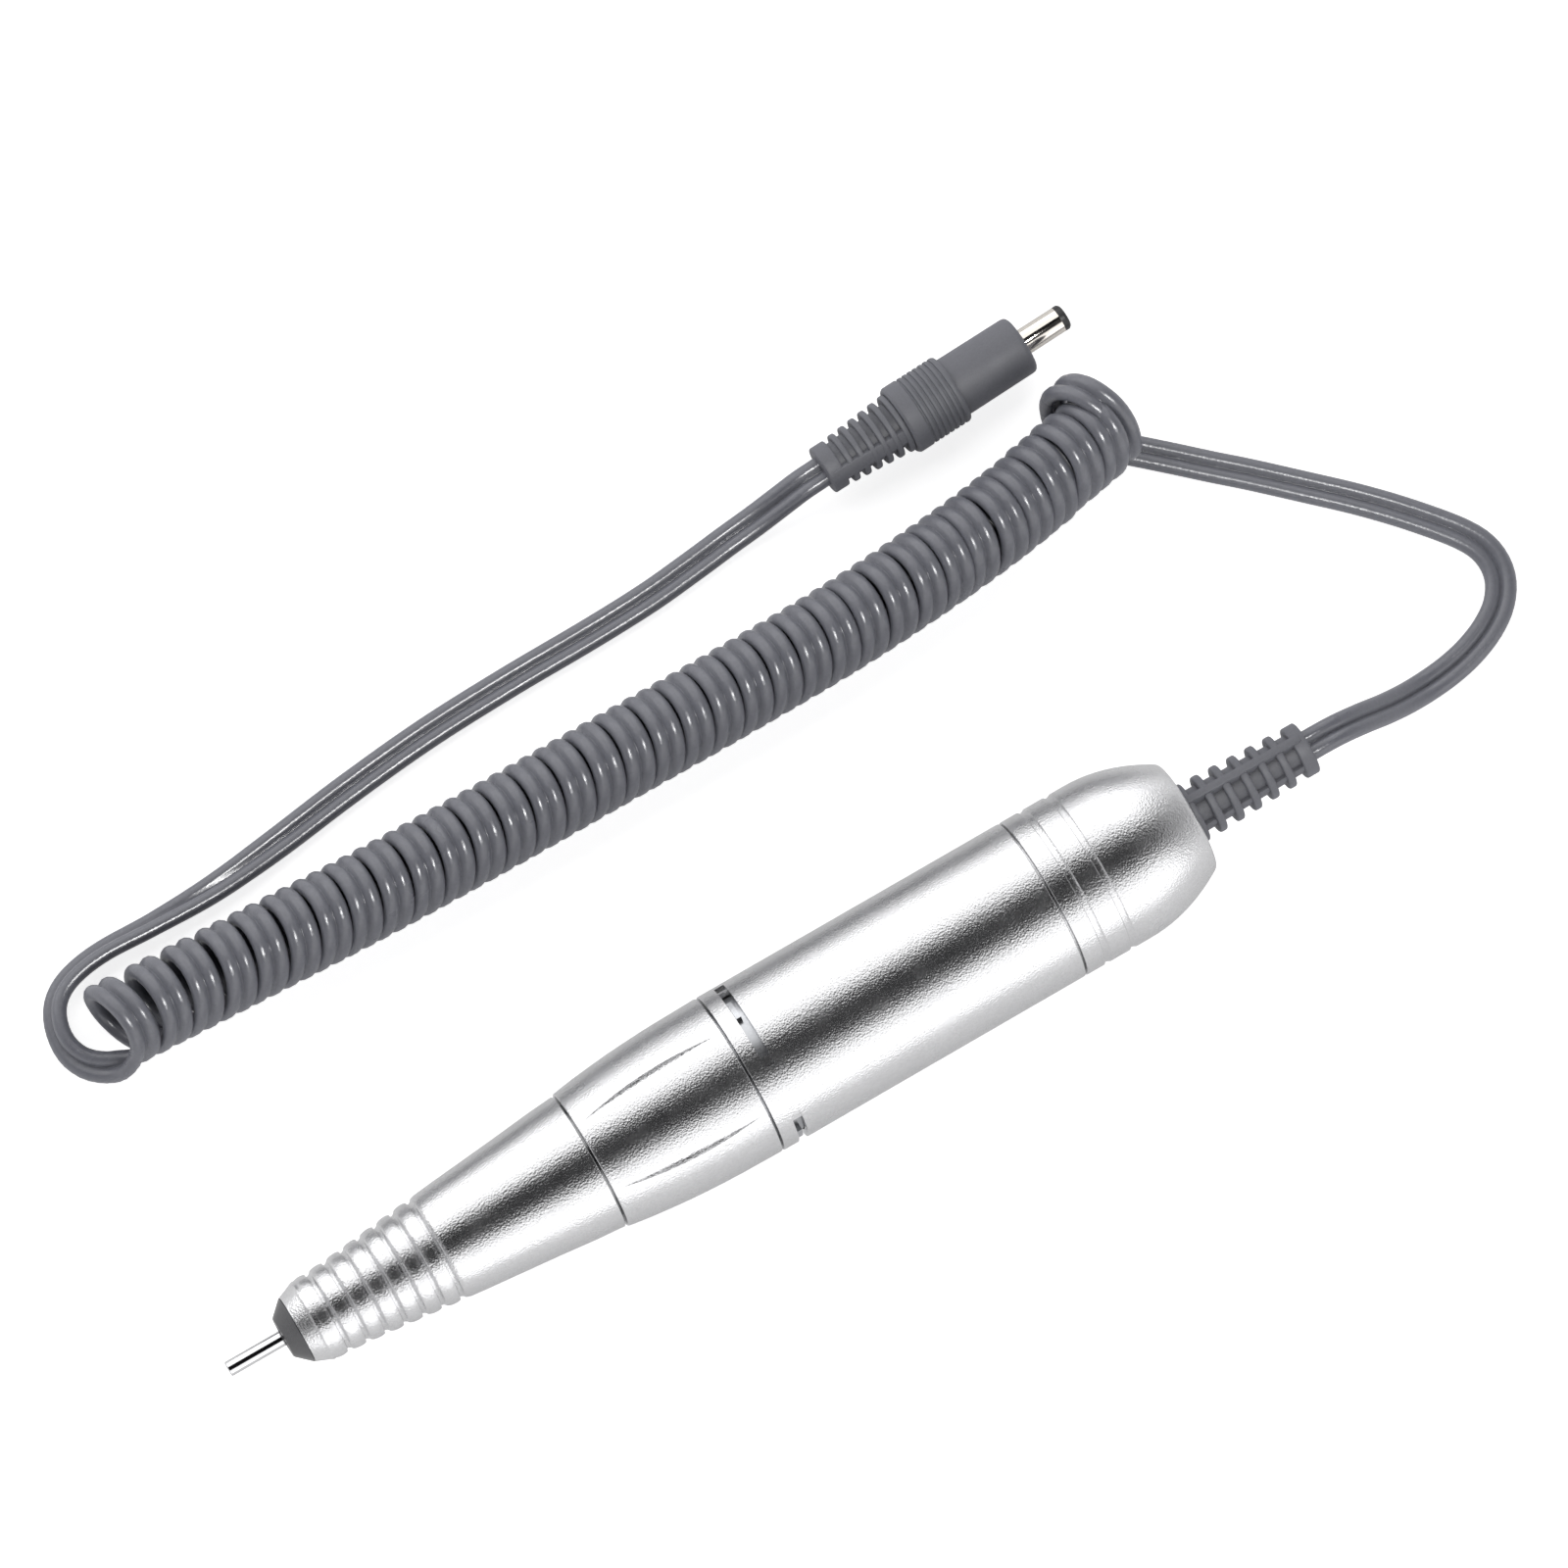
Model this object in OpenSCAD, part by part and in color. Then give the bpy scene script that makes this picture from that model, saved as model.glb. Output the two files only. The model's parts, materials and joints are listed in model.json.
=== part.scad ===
// Nail drill handpiece: a silver pen-shaped motor tool with a twist-lock chuck,
// a curly twin cord and a barrel plug. Millimetres, +Z up, lying on the plane z = 0.
// Along the handpiece, h is the distance from the front face of the nose.

/* [Handpiece] */
// Length from the nose face to the end of the rear cap
body_len = 150; // [148:1:156]
// Diameter of the motor housing
body_d = 25.2; // [25:0.1:27]
// Diameter of the nose at its front face
nose_d = 6.7; // [6.4:0.1:7.2]
// Place of the seam behind the nose cone
nose_seam = 50.5; // [50:0.1:51]
// Place of the seam behind the twist sleeve
sleeve_seam = 75.3; // [75:0.1:75.6]
// Place of the seam in front of the rear cap
cap_seam = 125.7; // [125.5:0.1:126]
// Gap that shows at each seam
seam_gap = 0.3; // [0.2:0.05:0.4]
// How far the finger recesses and windows are rolled from straight up
face_roll = 10; // [0:1:20]

/* [Grip] */
// Number of grooves round the nose
nose_grooves = 7; // [3:1:8]
// Distance from groove to groove on the nose
groove_pitch = 2.93; // [2.8:0.01:3]
// Number of finger recesses in the twist sleeve
recesses = 3; // [2:1:4]
// Half width of a finger recess at its middle
recess_half = 7; // [6:0.1:7.5]

/* [Chuck] */
// Diameter of the bit shank
shank_d = 2.35; // [2.3:0.01:2.4]
// Length of the shank that stands out of the nose
shank_free = 9; // [5:0.5:12]
// Travel of the collet when the sleeve is turned to open
release_travel = 1.2; // [0.8:0.1:1.2]
// Turn of the sleeve from locked to open, in degrees
sleeve_turn = 30; // [26:1:30]
// Angle that each window covers, in degrees
window_arc = 82; // [82:1:86]

/* [Cord and plug] */
// Width of the flat twin cord
cord_w = 4.7; // [4.4:0.1:4.8]
// Thickness of the flat twin cord
cord_t = 2.35; // [2.2:0.05:2.4]
// Outer diameter of the curly part
coil_d = 13.5; // [12:0.5:14]
// Length of the ribbed boot behind the rear cap
boot_len = 20; // [18:1:24]
// Outer diameter of the plug barrel
barrel_d = 4; // [3.9:0.05:4.1]
// Diameter of the hole in the plug barrel
barrel_hole = 1.7; // [1.6:0.05:1.8]
// Direction of the plug, turned from +X, in degrees
plug_turn = 3; // [0:1:6]

/* [Hidden] */
$fn = 96;
eps = 0.01;

// Places along the handpiece axis
body_r = body_d / 2;
axis_z = body_r;
nose_x = -(body_len + boot_len - shank_free) / 2;
facing = 180 + face_roll;

// Radii and clearances of the turned parts
turn_gap = 0.05;
sleeve_core_r = 9;
cavity_r = 8;
boot_rail_at = facing - 26;
housing_bore_r = body_r - 1.2;
spigot_r = housing_bore_r - turn_gap;
spindle_r = 3;
spindle_rear_r = 4;
shank_r = shank_d / 2;
collet_bore_r = shank_r + 0.015;
collet_r = 2;
can_r = housing_bore_r - 0.1;
can_bore_r = can_r - 1;
shaft_r = 1.5;
relief_r = sleeve_core_r + 1.15;
pin_r = 1;
pin_h = 70.5;
cross_pin_r = 0.8;
cross_pin_h = 66;
ramp_start = 1;

// Windows in the housing, each with a shallow pocket at both ends, and the lugs that show in them
windows = 3;
window_start = facing - 77;
window_from = 77.9;
window_to = 79.45;
pocket_arc = 8;
pocket_depth = 0.45;
lug_from = 24;
lug_arc = 17;
lug_r = 12.15;
brush_h = 116.4;
dome_from = 136.7;
recess_from = 53;
recess_to = 73;

// Bearing seats: places along the axis and sizes [inner radius, outer radius, width, balls]
front_seat = 7.2;
second_seat = 13.2;
rear_seat = 53;
motor_front_seat = 84.2;
motor_rear_seat = 120.2;
SMALL_BEARING = [3, 5, 3, 7];
LARGE_BEARING = [4, 8, 4, 9];
MOTOR_BEARING = [1.5, 5, 4, 7];

// Plug: s is the distance from the cord end of its strain relief
plug_at = [51, 72, 5.45];
grip_from = 13.4;
grip_to = 22.6;
plug_face = 34.8;
barrel_to = 41.3;
plug_tip = 42.4;
plug_rail_at = facing + 34;
neck_r = barrel_d / 2 - 0.2;

// Outer radius of the nose at places along the axis
NOSE = [[6, 6.45], [9, 6.6], [12, 6.85], [17.6, 7.45], [23.3, 8.05], [28.9, 8.6], [34.6, 9.15],
    [40.3, 9.7], [45.9, 10.3], [50.5, 10.65]];
// Outer radius of the twist sleeve, bulging towards its rear
SLEEVE = [[50.5, 10.85], [51.6, 11.02], [54.4, 11.42], [57.3, 11.76], [60.1, 12.04],
    [63, 12.26], [65.8, 12.41], [68.6, 12.5], [75.3, 12.58]];
// One groove: offsets along the axis, and depths
GROOVE = [[-0.95, 0], [-0.55, -0.05], [-0.3, -0.16], [-0.12, -0.36], [0.08, -0.38],
    [0.26, -0.2], [0.5, -0.04], [0.85, 0.03]];

// Route of the cord from the boot to the curly part, then from the curly part to the plug
HANDPIECE_ROUTE = [[89.5, 0, 12.6], [92, 0, 12.6], [95, 0, 12], [99, 0, 9.8], [103, 0, 6.8],
    [107, 0.2, 4], [111, 0.6, 2], [115, 1.1, 1.3], [119, 2, 1.2], [123, 3.6, 1.2],
    [126.4, 6, 1.2], [128.6, 9.4, 1.2], [128.9, 13.4, 1.2], [127.2, 17.4, 1.2],
    [122.5, 23.4, 1.2], [117, 29.4, 1.2], [111, 35.2, 1.2], [105, 40.9, 1.2], [100.8, 44.7, 1.2],
    [98, 49.6, 1.5], [96.4, 53, 2.2], [93.6, 55.4, 3], [89.9, 56, 3]];
PLUG_ROUTE = [[-77.6, 49.2, 2.8], [-80.6, 49.7, 2.8], [-83.6, 50.8, 1.9], [-85.6, 53, 1.3],
    [-86.3, 56, 1.2], [-85.4, 59.2, 1.2], [-82.8, 61.8, 1.2], [-79, 63.2, 1.2], [-74, 63.8, 1.2],
    [-66, 63.6, 1.2], [-56, 63.8, 1.2], [-45, 65, 1.2], [-32, 66.8, 1.2], [-18, 68.2, 1.2],
    [-4, 68.8, 1.2], [10, 69, 1.2], [20, 69.4, 1.2], [28, 70.2, 1.2], [34, 70.9, 1.3],
    [39, 71.3, 2], [43, 71.6, 3.2], [47, 71.8, 5], [49.5, 71.9, 5.45], [51, 72, 5.45]];
// Centre line of the curly part, bowed a little towards the handpiece
COIL_ROUTE = [[-77, 52.6, 6.75], [-57, 51.6, 6.75], [-37, 50.7, 6.75], [-17, 50.3, 6.75],
    [3, 50.2, 6.75], [23, 50.1, 6.75], [43, 50.4, 6.75], [62, 51.8, 6.75], [76, 53.7, 6.75],
    [90, 56.1, 6.75]];
// Routes of the wires inside the rear cap and the plug: [up, across, along]
MOTOR_LEAD = [[0.3, 9.05, 122.6], [0.3, 9.05, 125], [0.6, 8.6, 127.6], [1.2, 7, 131],
    [1.2, 4.6, 136], [0.4, 2, 139.2], [0, 1.15, 140.4], [0, 1.15, 141]];
CONTACT_LEAD = [[0, 1.15, 14], [0, 1.15, 14.6], [0.4, 1.2, 17], [0.5, 0.8, 21], [0.1, 0.2, 24.4],
    [0, 0, 25.4], [0, 0, 26]];
BARREL_LEAD = [[0, -1.15, 14], [0, -1.15, 14.6], [0.2, -1.6, 17], [0.2, -2.2, 21],
    [0, -2.3, 25], [0, -2.3, 27.4], [0, -2.3, 28]];
lead_r = 0.5;

function unit(v) = v / norm(v);
function last(list) = len(list) - 1;
function heading(route, i) = unit(route[min(i + 1, last(route))] - route[max(i - 1, 0)]);
function round_section(r, sides) = [for (k = [0:sides - 1])
    r * [sin(360 * k / sides), -cos(360 * k / sides)]];
function flat_section(w, t) = [for (k = [0:7]) let (a = 45 * k + 22.5)
    [w * cos(a), t * sin(a)] / (2 * cos(22.5))];
function cross_ring(at, dir, section, above) =
    let (side = unit(cross(dir, above)), up = cross(side, dir))
    [for (q = section) at + q[0] * side + q[1] * up];
function spring_ring(turn, r, wire, lead) =
    let (a = 360 * turn, out = [cos(a), sin(a), 0])
    [for (q = round_section(wire, 6)) (r + q[0]) * out + [0, 0, lead * turn + q[1]]];
function cap_r(h) = body_r - 4.1 * pow((h - dome_from) / (body_len - dome_from), 2);
function recess_r(h) = 11.2 + 0.0667 * (h - recess_from)
    - 0.0014 * (h - recess_from) * (recess_to - h);
function grooved(table, places) = [for (at = places, g = GROOVE)
    [min(body_r, lookup(at + g[0], table) + g[1]), at + g[0]]];
function nose_places() = [for (k = [0:nose_grooves - 1]) 7.5 + groove_pitch * k];

// Puts a shape drawn along +Z onto the handpiece axis, from the nose to the rear
module on_axis() {
    translate([nose_x, 0, axis_z]) rotate([0, 90, 0]) children();
}

module on_plug() {
    translate(plug_at) rotate([0, 0, plug_turn]) rotate([0, 90, 0]) children();
}

module ring(r_out, r_in, from, to) {
    difference() {
        translate([0, 0, from]) cylinder(r = r_out, h = to - from);
        translate([0, 0, from - 1]) cylinder(r = r_in, h = to - from + 2);
    }
}

module rod(r, from, to) {
    translate([0, 0, from]) cylinder(r = r, h = to - from);
}

module turned(outline) {
    rotate_extrude() polygon(outline);
}

module around(count, start = 0) {
    for (k = [0:count - 1]) rotate([0, 0, start + 360 * k / count]) children();
}

// A radial peg at height h, from radius r_in to r_out, pointing along +X
module radial_peg(r, h, r_in, r_out) {
    translate([r_in, 0, h]) rotate([0, 90, 0]) cylinder(r = r, h = r_out - r_in);
}

module block(x, y, z) {
    translate([x[0], y[0], z[0]]) cube([x[1] - x[0], y[1] - y[0], z[1] - z[0]]);
}

// One closed solid through rings of points
module loft(rings) {
    n = len(rings[0]);
    top = last(rings) * n;
    walls = [for (i = [0:last(rings) - 1], k = [0:n - 1]) let (m = (k + 1) % n)
        each [[i * n + k, i * n + m, (i + 1) * n + m], [i * n + k, (i + 1) * n + m, (i + 1) * n + k]]];
    ends = [[for (k = [n - 1:-1:0]) k], [for (k = [0:n - 1]) top + k]];
    polyhedron(points = [for (r = rings) each r], faces = concat(walls, ends));
}

module swept(route, section, above = [0, 0, 1]) {
    loft([for (i = [0:last(route)]) cross_ring(route[i], heading(route, i), section, above)]);
}

// A wire in the handpiece's or the plug's own frame, which runs along +Z
module wire(route) {
    swept(route, round_section(lead_r, 8), [1, 0, 0]);
}

module spring(r, wire_r, lead, turns) {
    loft([for (i = [0:turns * 12]) spring_ring(i / 12, r, wire_r, lead)]);
}

module twin(from, to) {
    translate([0, 0, from]) linear_extrude(to - from) {
        for (side = [-1, 1]) translate([0, side * (cord_w - cord_t) / 2]) circle(d = cord_t);
        square([cord_t * 0.55, cord_w / 2], center = true);
    }
}

module race(bearing, at, outer) {
    pitch = (bearing[0] + bearing[1]) / 2;
    land = (bearing[1] - bearing[0]) / 8;
    r_from = outer ? pitch + land : bearing[0];
    r_to = outer ? bearing[1] : pitch - land;
    rotate_extrude() difference() {
        translate([r_from, at]) square([r_to - r_from, bearing[2]]);
        translate([pitch, at + bearing[2] / 2]) circle(r = ball_r(bearing) + 0.03);
    }
}

function ball_r(bearing) = 0.3 * (bearing[1] - bearing[0]);

module balls(bearing, at) {
    around(bearing[3]) translate([(bearing[0] + bearing[1]) / 2, 0, at + bearing[2] / 2])
        sphere(r = ball_r(bearing), $fn = 64);
}

// Ribbed strain relief from `at` along `length`: rings on a tapering core, a thicker one at
// its end, and two rails at the angle rail_at. radii: outer and core, at its root and its end
module relief(at, length, radii, rings, ring_w, end_w, rail_w, rail_at) {
    step = (length - end_w) / rings;
    turned([[0, at], [radii[2], at], [radii[3], at + length], [0, at + length]]);
    for (k = [0:rings]) {
        r = radii[0] + (radii[1] - radii[0]) * k / rings;
        w = (k == rings) ? end_w : ring_w;
        low = at + step * k;
        turned([[0, low], [r - 0.25, low], [r, low + 0.25], [r, low + w - 0.25],
            [r - 0.25, low + w], [0, low + w]]);
    }
    rotate([0, 0, rail_at]) for (side = [-1, 1]) hull() {
        rail_block(side * radii[2], rail_w, at);
        rail_block(side * (radii[0] - 0.5), rail_w, at);
        rail_block(side * (radii[1] - 0.5), rail_w, at + length - 1);
    }
}

module rail_block(x, w, at) {
    block([x - 0.3, x + 0.3], [-w / 2, w / 2], [at, at + 0.5]);
}

module nose_bezel() {
    color("#4a4c50") on_axis() turned([[1.9, 0], [nose_d / 2 - 0.3, 0], [nose_d / 2, 0.3],
        [5.25, 2.3], [4.4, 2.3], [4.4, 4.6], [3.3, 4.6], [3.3, 1.6], [1.9, 1.6]]);
}

module nose_cone() {
    front = [[3.6, 4.6], [4.4, 4.6], [4.4, 2.3], [5.25, 2.3], [6.1, 4.45], [6.3, 4.8], [6.42, 5.3]];
    rear = [[lookup(28.9, NOSE), 28.9], [lookup(34.6, NOSE), 34.6], [lookup(40.3, NOSE), 40.3],
        [lookup(45.9, NOSE), 45.9], [10.62, nose_seam - seam_gap / 2 - 0.15],
        [10.45, nose_seam - seam_gap / 2]];
    bore = [[7.5, nose_seam - seam_gap / 2], [7.5, 38], [5.3, 38], [5.3, 18.7],
        [SMALL_BEARING[1], 18.7], [SMALL_BEARING[1], front_seat], [3.6, front_seat]];
    color("#c8c9cb") on_axis() turned(concat(front, grooved(NOSE, nose_places()), rear, bore));
}

// The space that a finger recess takes out of the sleeve, on its +X side
module recess_cutter() {
    edge_r = 54;
    intersection() {
        turned(concat([[15, recess_from]],
            [for (h = [recess_from:1:recess_to]) [recess_r(h), h]], [[15, recess_to]]));
        rotate([0, 90, 0]) linear_extrude(14) intersection_for(side = [-1, 1])
            translate([-(recess_from + recess_to) / 2, side * (edge_r - recess_half)])
            circle(r = edge_r);
    }
}

module twist_sleeve() {
    low = nose_seam + seam_gap / 2;
    high = sleeve_seam - seam_gap / 2;
    color("#cfd0d2") on_axis() difference() {
        turned(concat([[sleeve_core_r + turn_gap, low], [10.7, low]],
            [for (p = SLEEVE) if (p[0] > low && p[0] < high) [p[1], p[0]]],
            [[12.55, high - 0.2], [12.35, high], [relief_r, high], [relief_r, 67.9],
            [sleeve_core_r + turn_gap, 67.9]]));
        around(recesses, facing) recess_cutter();
    }
}

module sleeve_o_ring() {
    color("#2a2a2c") on_axis() rotate_extrude() translate([8.42, 51.75]) circle(r = 0.5);
}

// One ramp on the front edge of the cam ring, rising against the way the sleeve turns
module cam_ramp() {
    flat_end = ramp_start + sleeve_turn + 5;
    low = pin_h + pin_r + 0.08;
    angles = concat([for (k = [0:10]) ramp_start + sleeve_turn * k / 10], [flat_end]);
    loft([for (b = angles) let (rise = release_travel * min(1, (b - ramp_start) / sleeve_turn),
        out = [cos(-b), sin(-b), 0])
        [(relief_r - 0.05) * out + [0, 0, low + 0.3], (relief_r - 0.05) * out + [0, 0, low - rise],
         (sleeve_core_r + 0.1) * out + [0, 0, low - rise],
         (sleeve_core_r + 0.1) * out + [0, 0, low + 0.3]]]);
}

module cam_ring() {
    low = pin_h + pin_r + 0.08;
    high = sleeve_seam - seam_gap / 2;
    inner = sleeve_core_r + turn_gap;
    color("#8d9196") on_axis() union() {
        ring(relief_r, inner, low, high);
        ring(10.8, inner, high, 77.2);
        ring(11.2, inner, 77.2, 80.3);
        around(windows, window_start + lug_from) intersection() {
            ring(lug_r, 11, window_from + 0.1, (window_from + window_to) / 2 + 0.1);
            linear_extrude(window_to) polygon([[0, 0], [14, 0], 14 * [cos(lug_arc), sin(lug_arc)]]);
        }
        around(windows, facing + 60) cam_ramp();
    }
}

module chuck_body() {
    nose_rear = nose_seam - seam_gap / 2;
    color("#b0b3b7") on_axis() difference() {
        turned([[4.6, 38], [7.5, 38], [7.5, nose_rear], [sleeve_core_r, nose_rear],
            [sleeve_core_r, 51.1], [7.9, 51.1], [7.9, 52.4], [sleeve_core_r, 52.4],
            [sleeve_core_r, 81], [housing_bore_r, 81], [housing_bore_r, 86], [cavity_r, 86],
            [cavity_r, rear_seat], [4.6, rear_seat]]);
        around(windows, facing + 60) block([cavity_r - 1, sleeve_core_r + 1], [-1.1, 1.1],
            [pin_h - pin_r - release_travel - 0.2, pin_h + pin_r + 0.2]);
    }
}

module pressure_ring() {
    color("#9a8f6a") on_axis() difference() {
        ring(cavity_r - 0.1, 4.6, 68.6, 72.4);
        around(windows, facing + 60) radial_peg(pin_r, pin_h, 5, cavity_r + 1);
    }
}

module release_pins() {
    color("#dcdcde") on_axis() around(windows, facing + 60) radial_peg(pin_r, pin_h, 5, 10);
}

module spindle() {
    color("#a8abb0") on_axis() difference() {
        turned([[2.717, 3], [spindle_r, 3], [spindle_r, 46], [spindle_rear_r, 46],
            [spindle_rear_r, 74], [3, 74], [3, 44], [collet_r + turn_gap, 44],
            [collet_r + turn_gap, 5]]);
        block([-5, 5], [-0.85, 0.85], [cross_pin_h - cross_pin_r - release_travel - 0.1,
            cross_pin_h + cross_pin_r + 0.1]);
    }
}

module collet() {
    color("#8a7f5a") on_axis() difference() {
        turned([[collet_bore_r, 3.2], [2.6, 3.2], [collet_r, 5], [collet_r, 32],
            [collet_bore_r, 32]]);
        around(3) block([0, 4], [-0.18, 0.18], [3, 18]);
    }
}

module draw_rod() {
    color("#9b9ea3") on_axis() difference() {
        turned([[0, 28.2], [collet_bore_r, 28.2], [collet_bore_r, 32], [1.5, 32], [1.5, 61.5],
            [2.95, 61.5], [2.95, 69], [0, 69]]);
        radial_peg(cross_pin_r, cross_pin_h, -4, 4);
    }
}

module cross_pin() {
    color("#dcdcde") on_axis() radial_peg(cross_pin_r, cross_pin_h, -6.3, 6.3);
}

module push_collar() {
    color("#a8abb0") on_axis() difference() {
        ring(6.6, spindle_rear_r + turn_gap, 64.6, 68.4);
        radial_peg(cross_pin_r, cross_pin_h, -7, 7);
    }
}

module chuck_spring() {
    turns = 9;
    wire_r = 0.4;
    lead = (61.5 - 44 - 2 * wire_r - 0.1) / turns;
    color("#77797d") on_axis() translate([0, 0, 44 + wire_r + 0.05]) spring(2.35, wire_r, lead, turns);
}

// The shank has a fine groove just inside the nose
module bit() {
    mark_r = shank_r - 0.25;
    color("#e4e4e6") on_axis() turned([[0, -shank_free], [shank_r - 0.2, -shank_free],
        [shank_r, 0.2 - shank_free], [shank_r, 0], [mark_r, 0], [mark_r, 0.8],
        [shank_r, 0.8], [shank_r, 26.8], [shank_r - 0.2, 27], [0, 27]]);
}

module front_bearing_outer_rings() {
    color("#bfc2c6") on_axis() for (at = [front_seat, second_seat]) race(SMALL_BEARING, at, true);
}

module front_bearing_inner_rings() {
    color("#c9ccd0") on_axis() for (at = [front_seat, second_seat]) race(SMALL_BEARING, at, false);
}

module front_bearing_balls() {
    color("#f0f0f2") on_axis() for (at = [front_seat, second_seat]) balls(SMALL_BEARING, at);
}

module bearing_spacer() {
    color("#b9a36b") on_axis() ring(SMALL_BEARING[1], 4.3, front_seat + SMALL_BEARING[2], second_seat);
}

module bearing_nut() {
    color("#8f9297") on_axis() ring(SMALL_BEARING[1], 3.4, second_seat + SMALL_BEARING[2], 18.7);
}

module rear_bearing_outer_ring() {
    color("#bfc2c6") on_axis() race(LARGE_BEARING, rear_seat, true);
}

module rear_bearing_inner_ring() {
    color("#c9ccd0") on_axis() race(LARGE_BEARING, rear_seat, false);
}

module rear_bearing_balls() {
    color("#f0f0f2") on_axis() balls(LARGE_BEARING, rear_seat);
}

module bearing_retainer() {
    color("#8f9297") on_axis() ring(cavity_r, 6.6, rear_seat + LARGE_BEARING[2], 58.6);
}

// Two claws that mate with the other half of the coupling
module claws(start, from, to) {
    around(2, start) intersection() {
        ring(4.8, 2.2, from, to);
        linear_extrude(to) polygon([[0, 0], [9, -6.3], [9, 6.3]]);
    }
}

module spindle_coupling() {
    color("#50535a") on_axis() union() {
        rod(3, 70, 74);
        rod(4.8, 74, 77);
        claws(0, 77 - eps, 79.3);
    }
}

module motor_coupling() {
    color("#3d6ea8") on_axis() union() {
        ring(4.8, shaft_r, 79.5, 82.5);
        claws(90, 77.2, 79.5 + eps);
    }
}

// The space of a window from one angle to another, down to radius r_in
module window_cut(from, to, r_in) {
    translate([0, 0, window_from]) rotate_extrude(angle = to - from, start = from)
        translate([r_in, 0]) square([body_r + 2 - r_in, window_to - window_from]);
}

module motor_housing() {
    low = sleeve_seam + seam_gap / 2;
    high = cap_seam - seam_gap / 2;
    color("#c8c9cb") on_axis() difference() {
        turned([[10.9, low], [body_r - 0.2, low], [body_r, low + 0.2], [body_r, high - 0.15],
            [body_r - 0.15, high], [housing_bore_r, high], [housing_bore_r, 77], [10.9, 77]]);
        around(windows, window_start) {
            window_cut(0, window_arc, body_r - pocket_depth);
            window_cut(pocket_arc, window_arc - pocket_arc, housing_bore_r - 1);
        }
    }
}

module motor_front_plate() {
    color("#a0a3a8") on_axis() turned([[2.6, 83.6], [6.2, 83.6], [6.2, 86], [can_r, 86], [can_r, 88],
        [MOTOR_BEARING[1], 88], [MOTOR_BEARING[1], motor_front_seat], [2.6, motor_front_seat]]);
}

module motor_can() {
    color("#8b8e93") on_axis() ring(can_r, can_bore_r, 88, 119.5);
}

module stator_magnets() {
    color("#3a3a3d") on_axis() intersection() {
        ring(can_bore_r, 8, 91, 111);
        around(2, 90) linear_extrude(120) polygon([[0, 0], [11, -22], [24, 0], [11, 22]]);
    }
}

module rotor_core() {
    color("#6c6f75") on_axis() translate([0, 0, 91.5]) linear_extrude(19) difference() {
        union() {
            circle(r = 3.2);
            for (k = [0:4]) rotate(72 * k) translate([0, -1.1]) square([6.8, 2.2]);
            difference() {
                circle(r = 7.6);
                circle(r = 6.5);
                for (k = [0:4]) rotate(72 * k + 36) translate([4, -0.6]) square([5, 1.2]);
            }
        }
        circle(r = shaft_r);
    }
}

module rotor_windings() {
    color("#b4602c") on_axis() union() {
        translate([0, 0, 91.4]) linear_extrude(19.2) difference() {
            circle(r = 6.3);
            circle(r = 3.4);
            for (k = [0:4]) rotate(72 * k) translate([0, -1.3]) square([7, 2.6]);
        }
        for (at = [90.2, 111.8]) rotate_extrude() translate([4.6, at])
            scale([1, 0.72]) circle(r = 1.75, $fn = 40);
    }
}

module commutator() {
    color("#c07840") on_axis() difference() {
        ring(3.3, shaft_r, 114, 119);
        around(5, 36) block([2.7, 4], [-0.2, 0.2], [113, 120]);
    }
}

module motor_shaft() {
    color("#d4d6d9") on_axis() rod(shaft_r, 79.6, 124);
}

module motor_bearing_outer_rings() {
    color("#bfc2c6") on_axis() for (at = [motor_front_seat, motor_rear_seat])
        race(MOTOR_BEARING, at, true);
}

module motor_bearing_inner_rings() {
    color("#c9ccd0") on_axis() for (at = [motor_front_seat, motor_rear_seat])
        race(MOTOR_BEARING, at, false);
}

module motor_bearing_balls() {
    color("#f0f0f2") on_axis() for (at = [motor_front_seat, motor_rear_seat]) balls(MOTOR_BEARING, at);
}

module brush_plate() {
    color("#2f2f31") on_axis() turned([[2.6, 119.5], [can_r, 119.5], [can_r, 121.5], [6.2, 121.5],
        [6.2, 124.2], [MOTOR_BEARING[1], 124.2], [MOTOR_BEARING[1], motor_rear_seat],
        [2.6, motor_rear_seat]]);
}

module brush_holders() {
    color("#b8963e") on_axis() for (side = [90, 270]) rotate([0, 0, side]) difference() {
        block([4.3, 10.1], [-1.7, 1.7], [114, 119.5]);
        block([4, 9.8], [-1.15, 1.15], [brush_h - 1.85, brush_h + 1.85]);
    }
}

module carbon_brushes() {
    color("#1c1c1e") on_axis() for (side = [90, 270]) rotate([0, 0, side]) difference() {
        block([2.8, 7.4], [-1.1, 1.1], [brush_h - 1.8, brush_h + 1.8]);
        rod(3.35, 110, 122);
    }
}

module brush_springs() {
    color("#9c9fa4") on_axis() for (side = [90, 270]) rotate([0, 0, side])
        translate([7.62, 0, brush_h]) rotate([0, 90, 0]) spring(0.8, 0.18, 0.39, 5);
}

module terminal_tabs() {
    color("#c9a24b") on_axis() for (side = [90, 270]) rotate([0, 0, side])
        block([8, 8.5], [-1.5, 1.5], [121.5, 125.4]);
}

module motor_leads() {
    color("#a8322a") on_axis() {
        wire(MOTOR_LEAD);
        mirror([0, 1, 0]) wire(MOTOR_LEAD);
    }
}

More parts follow.
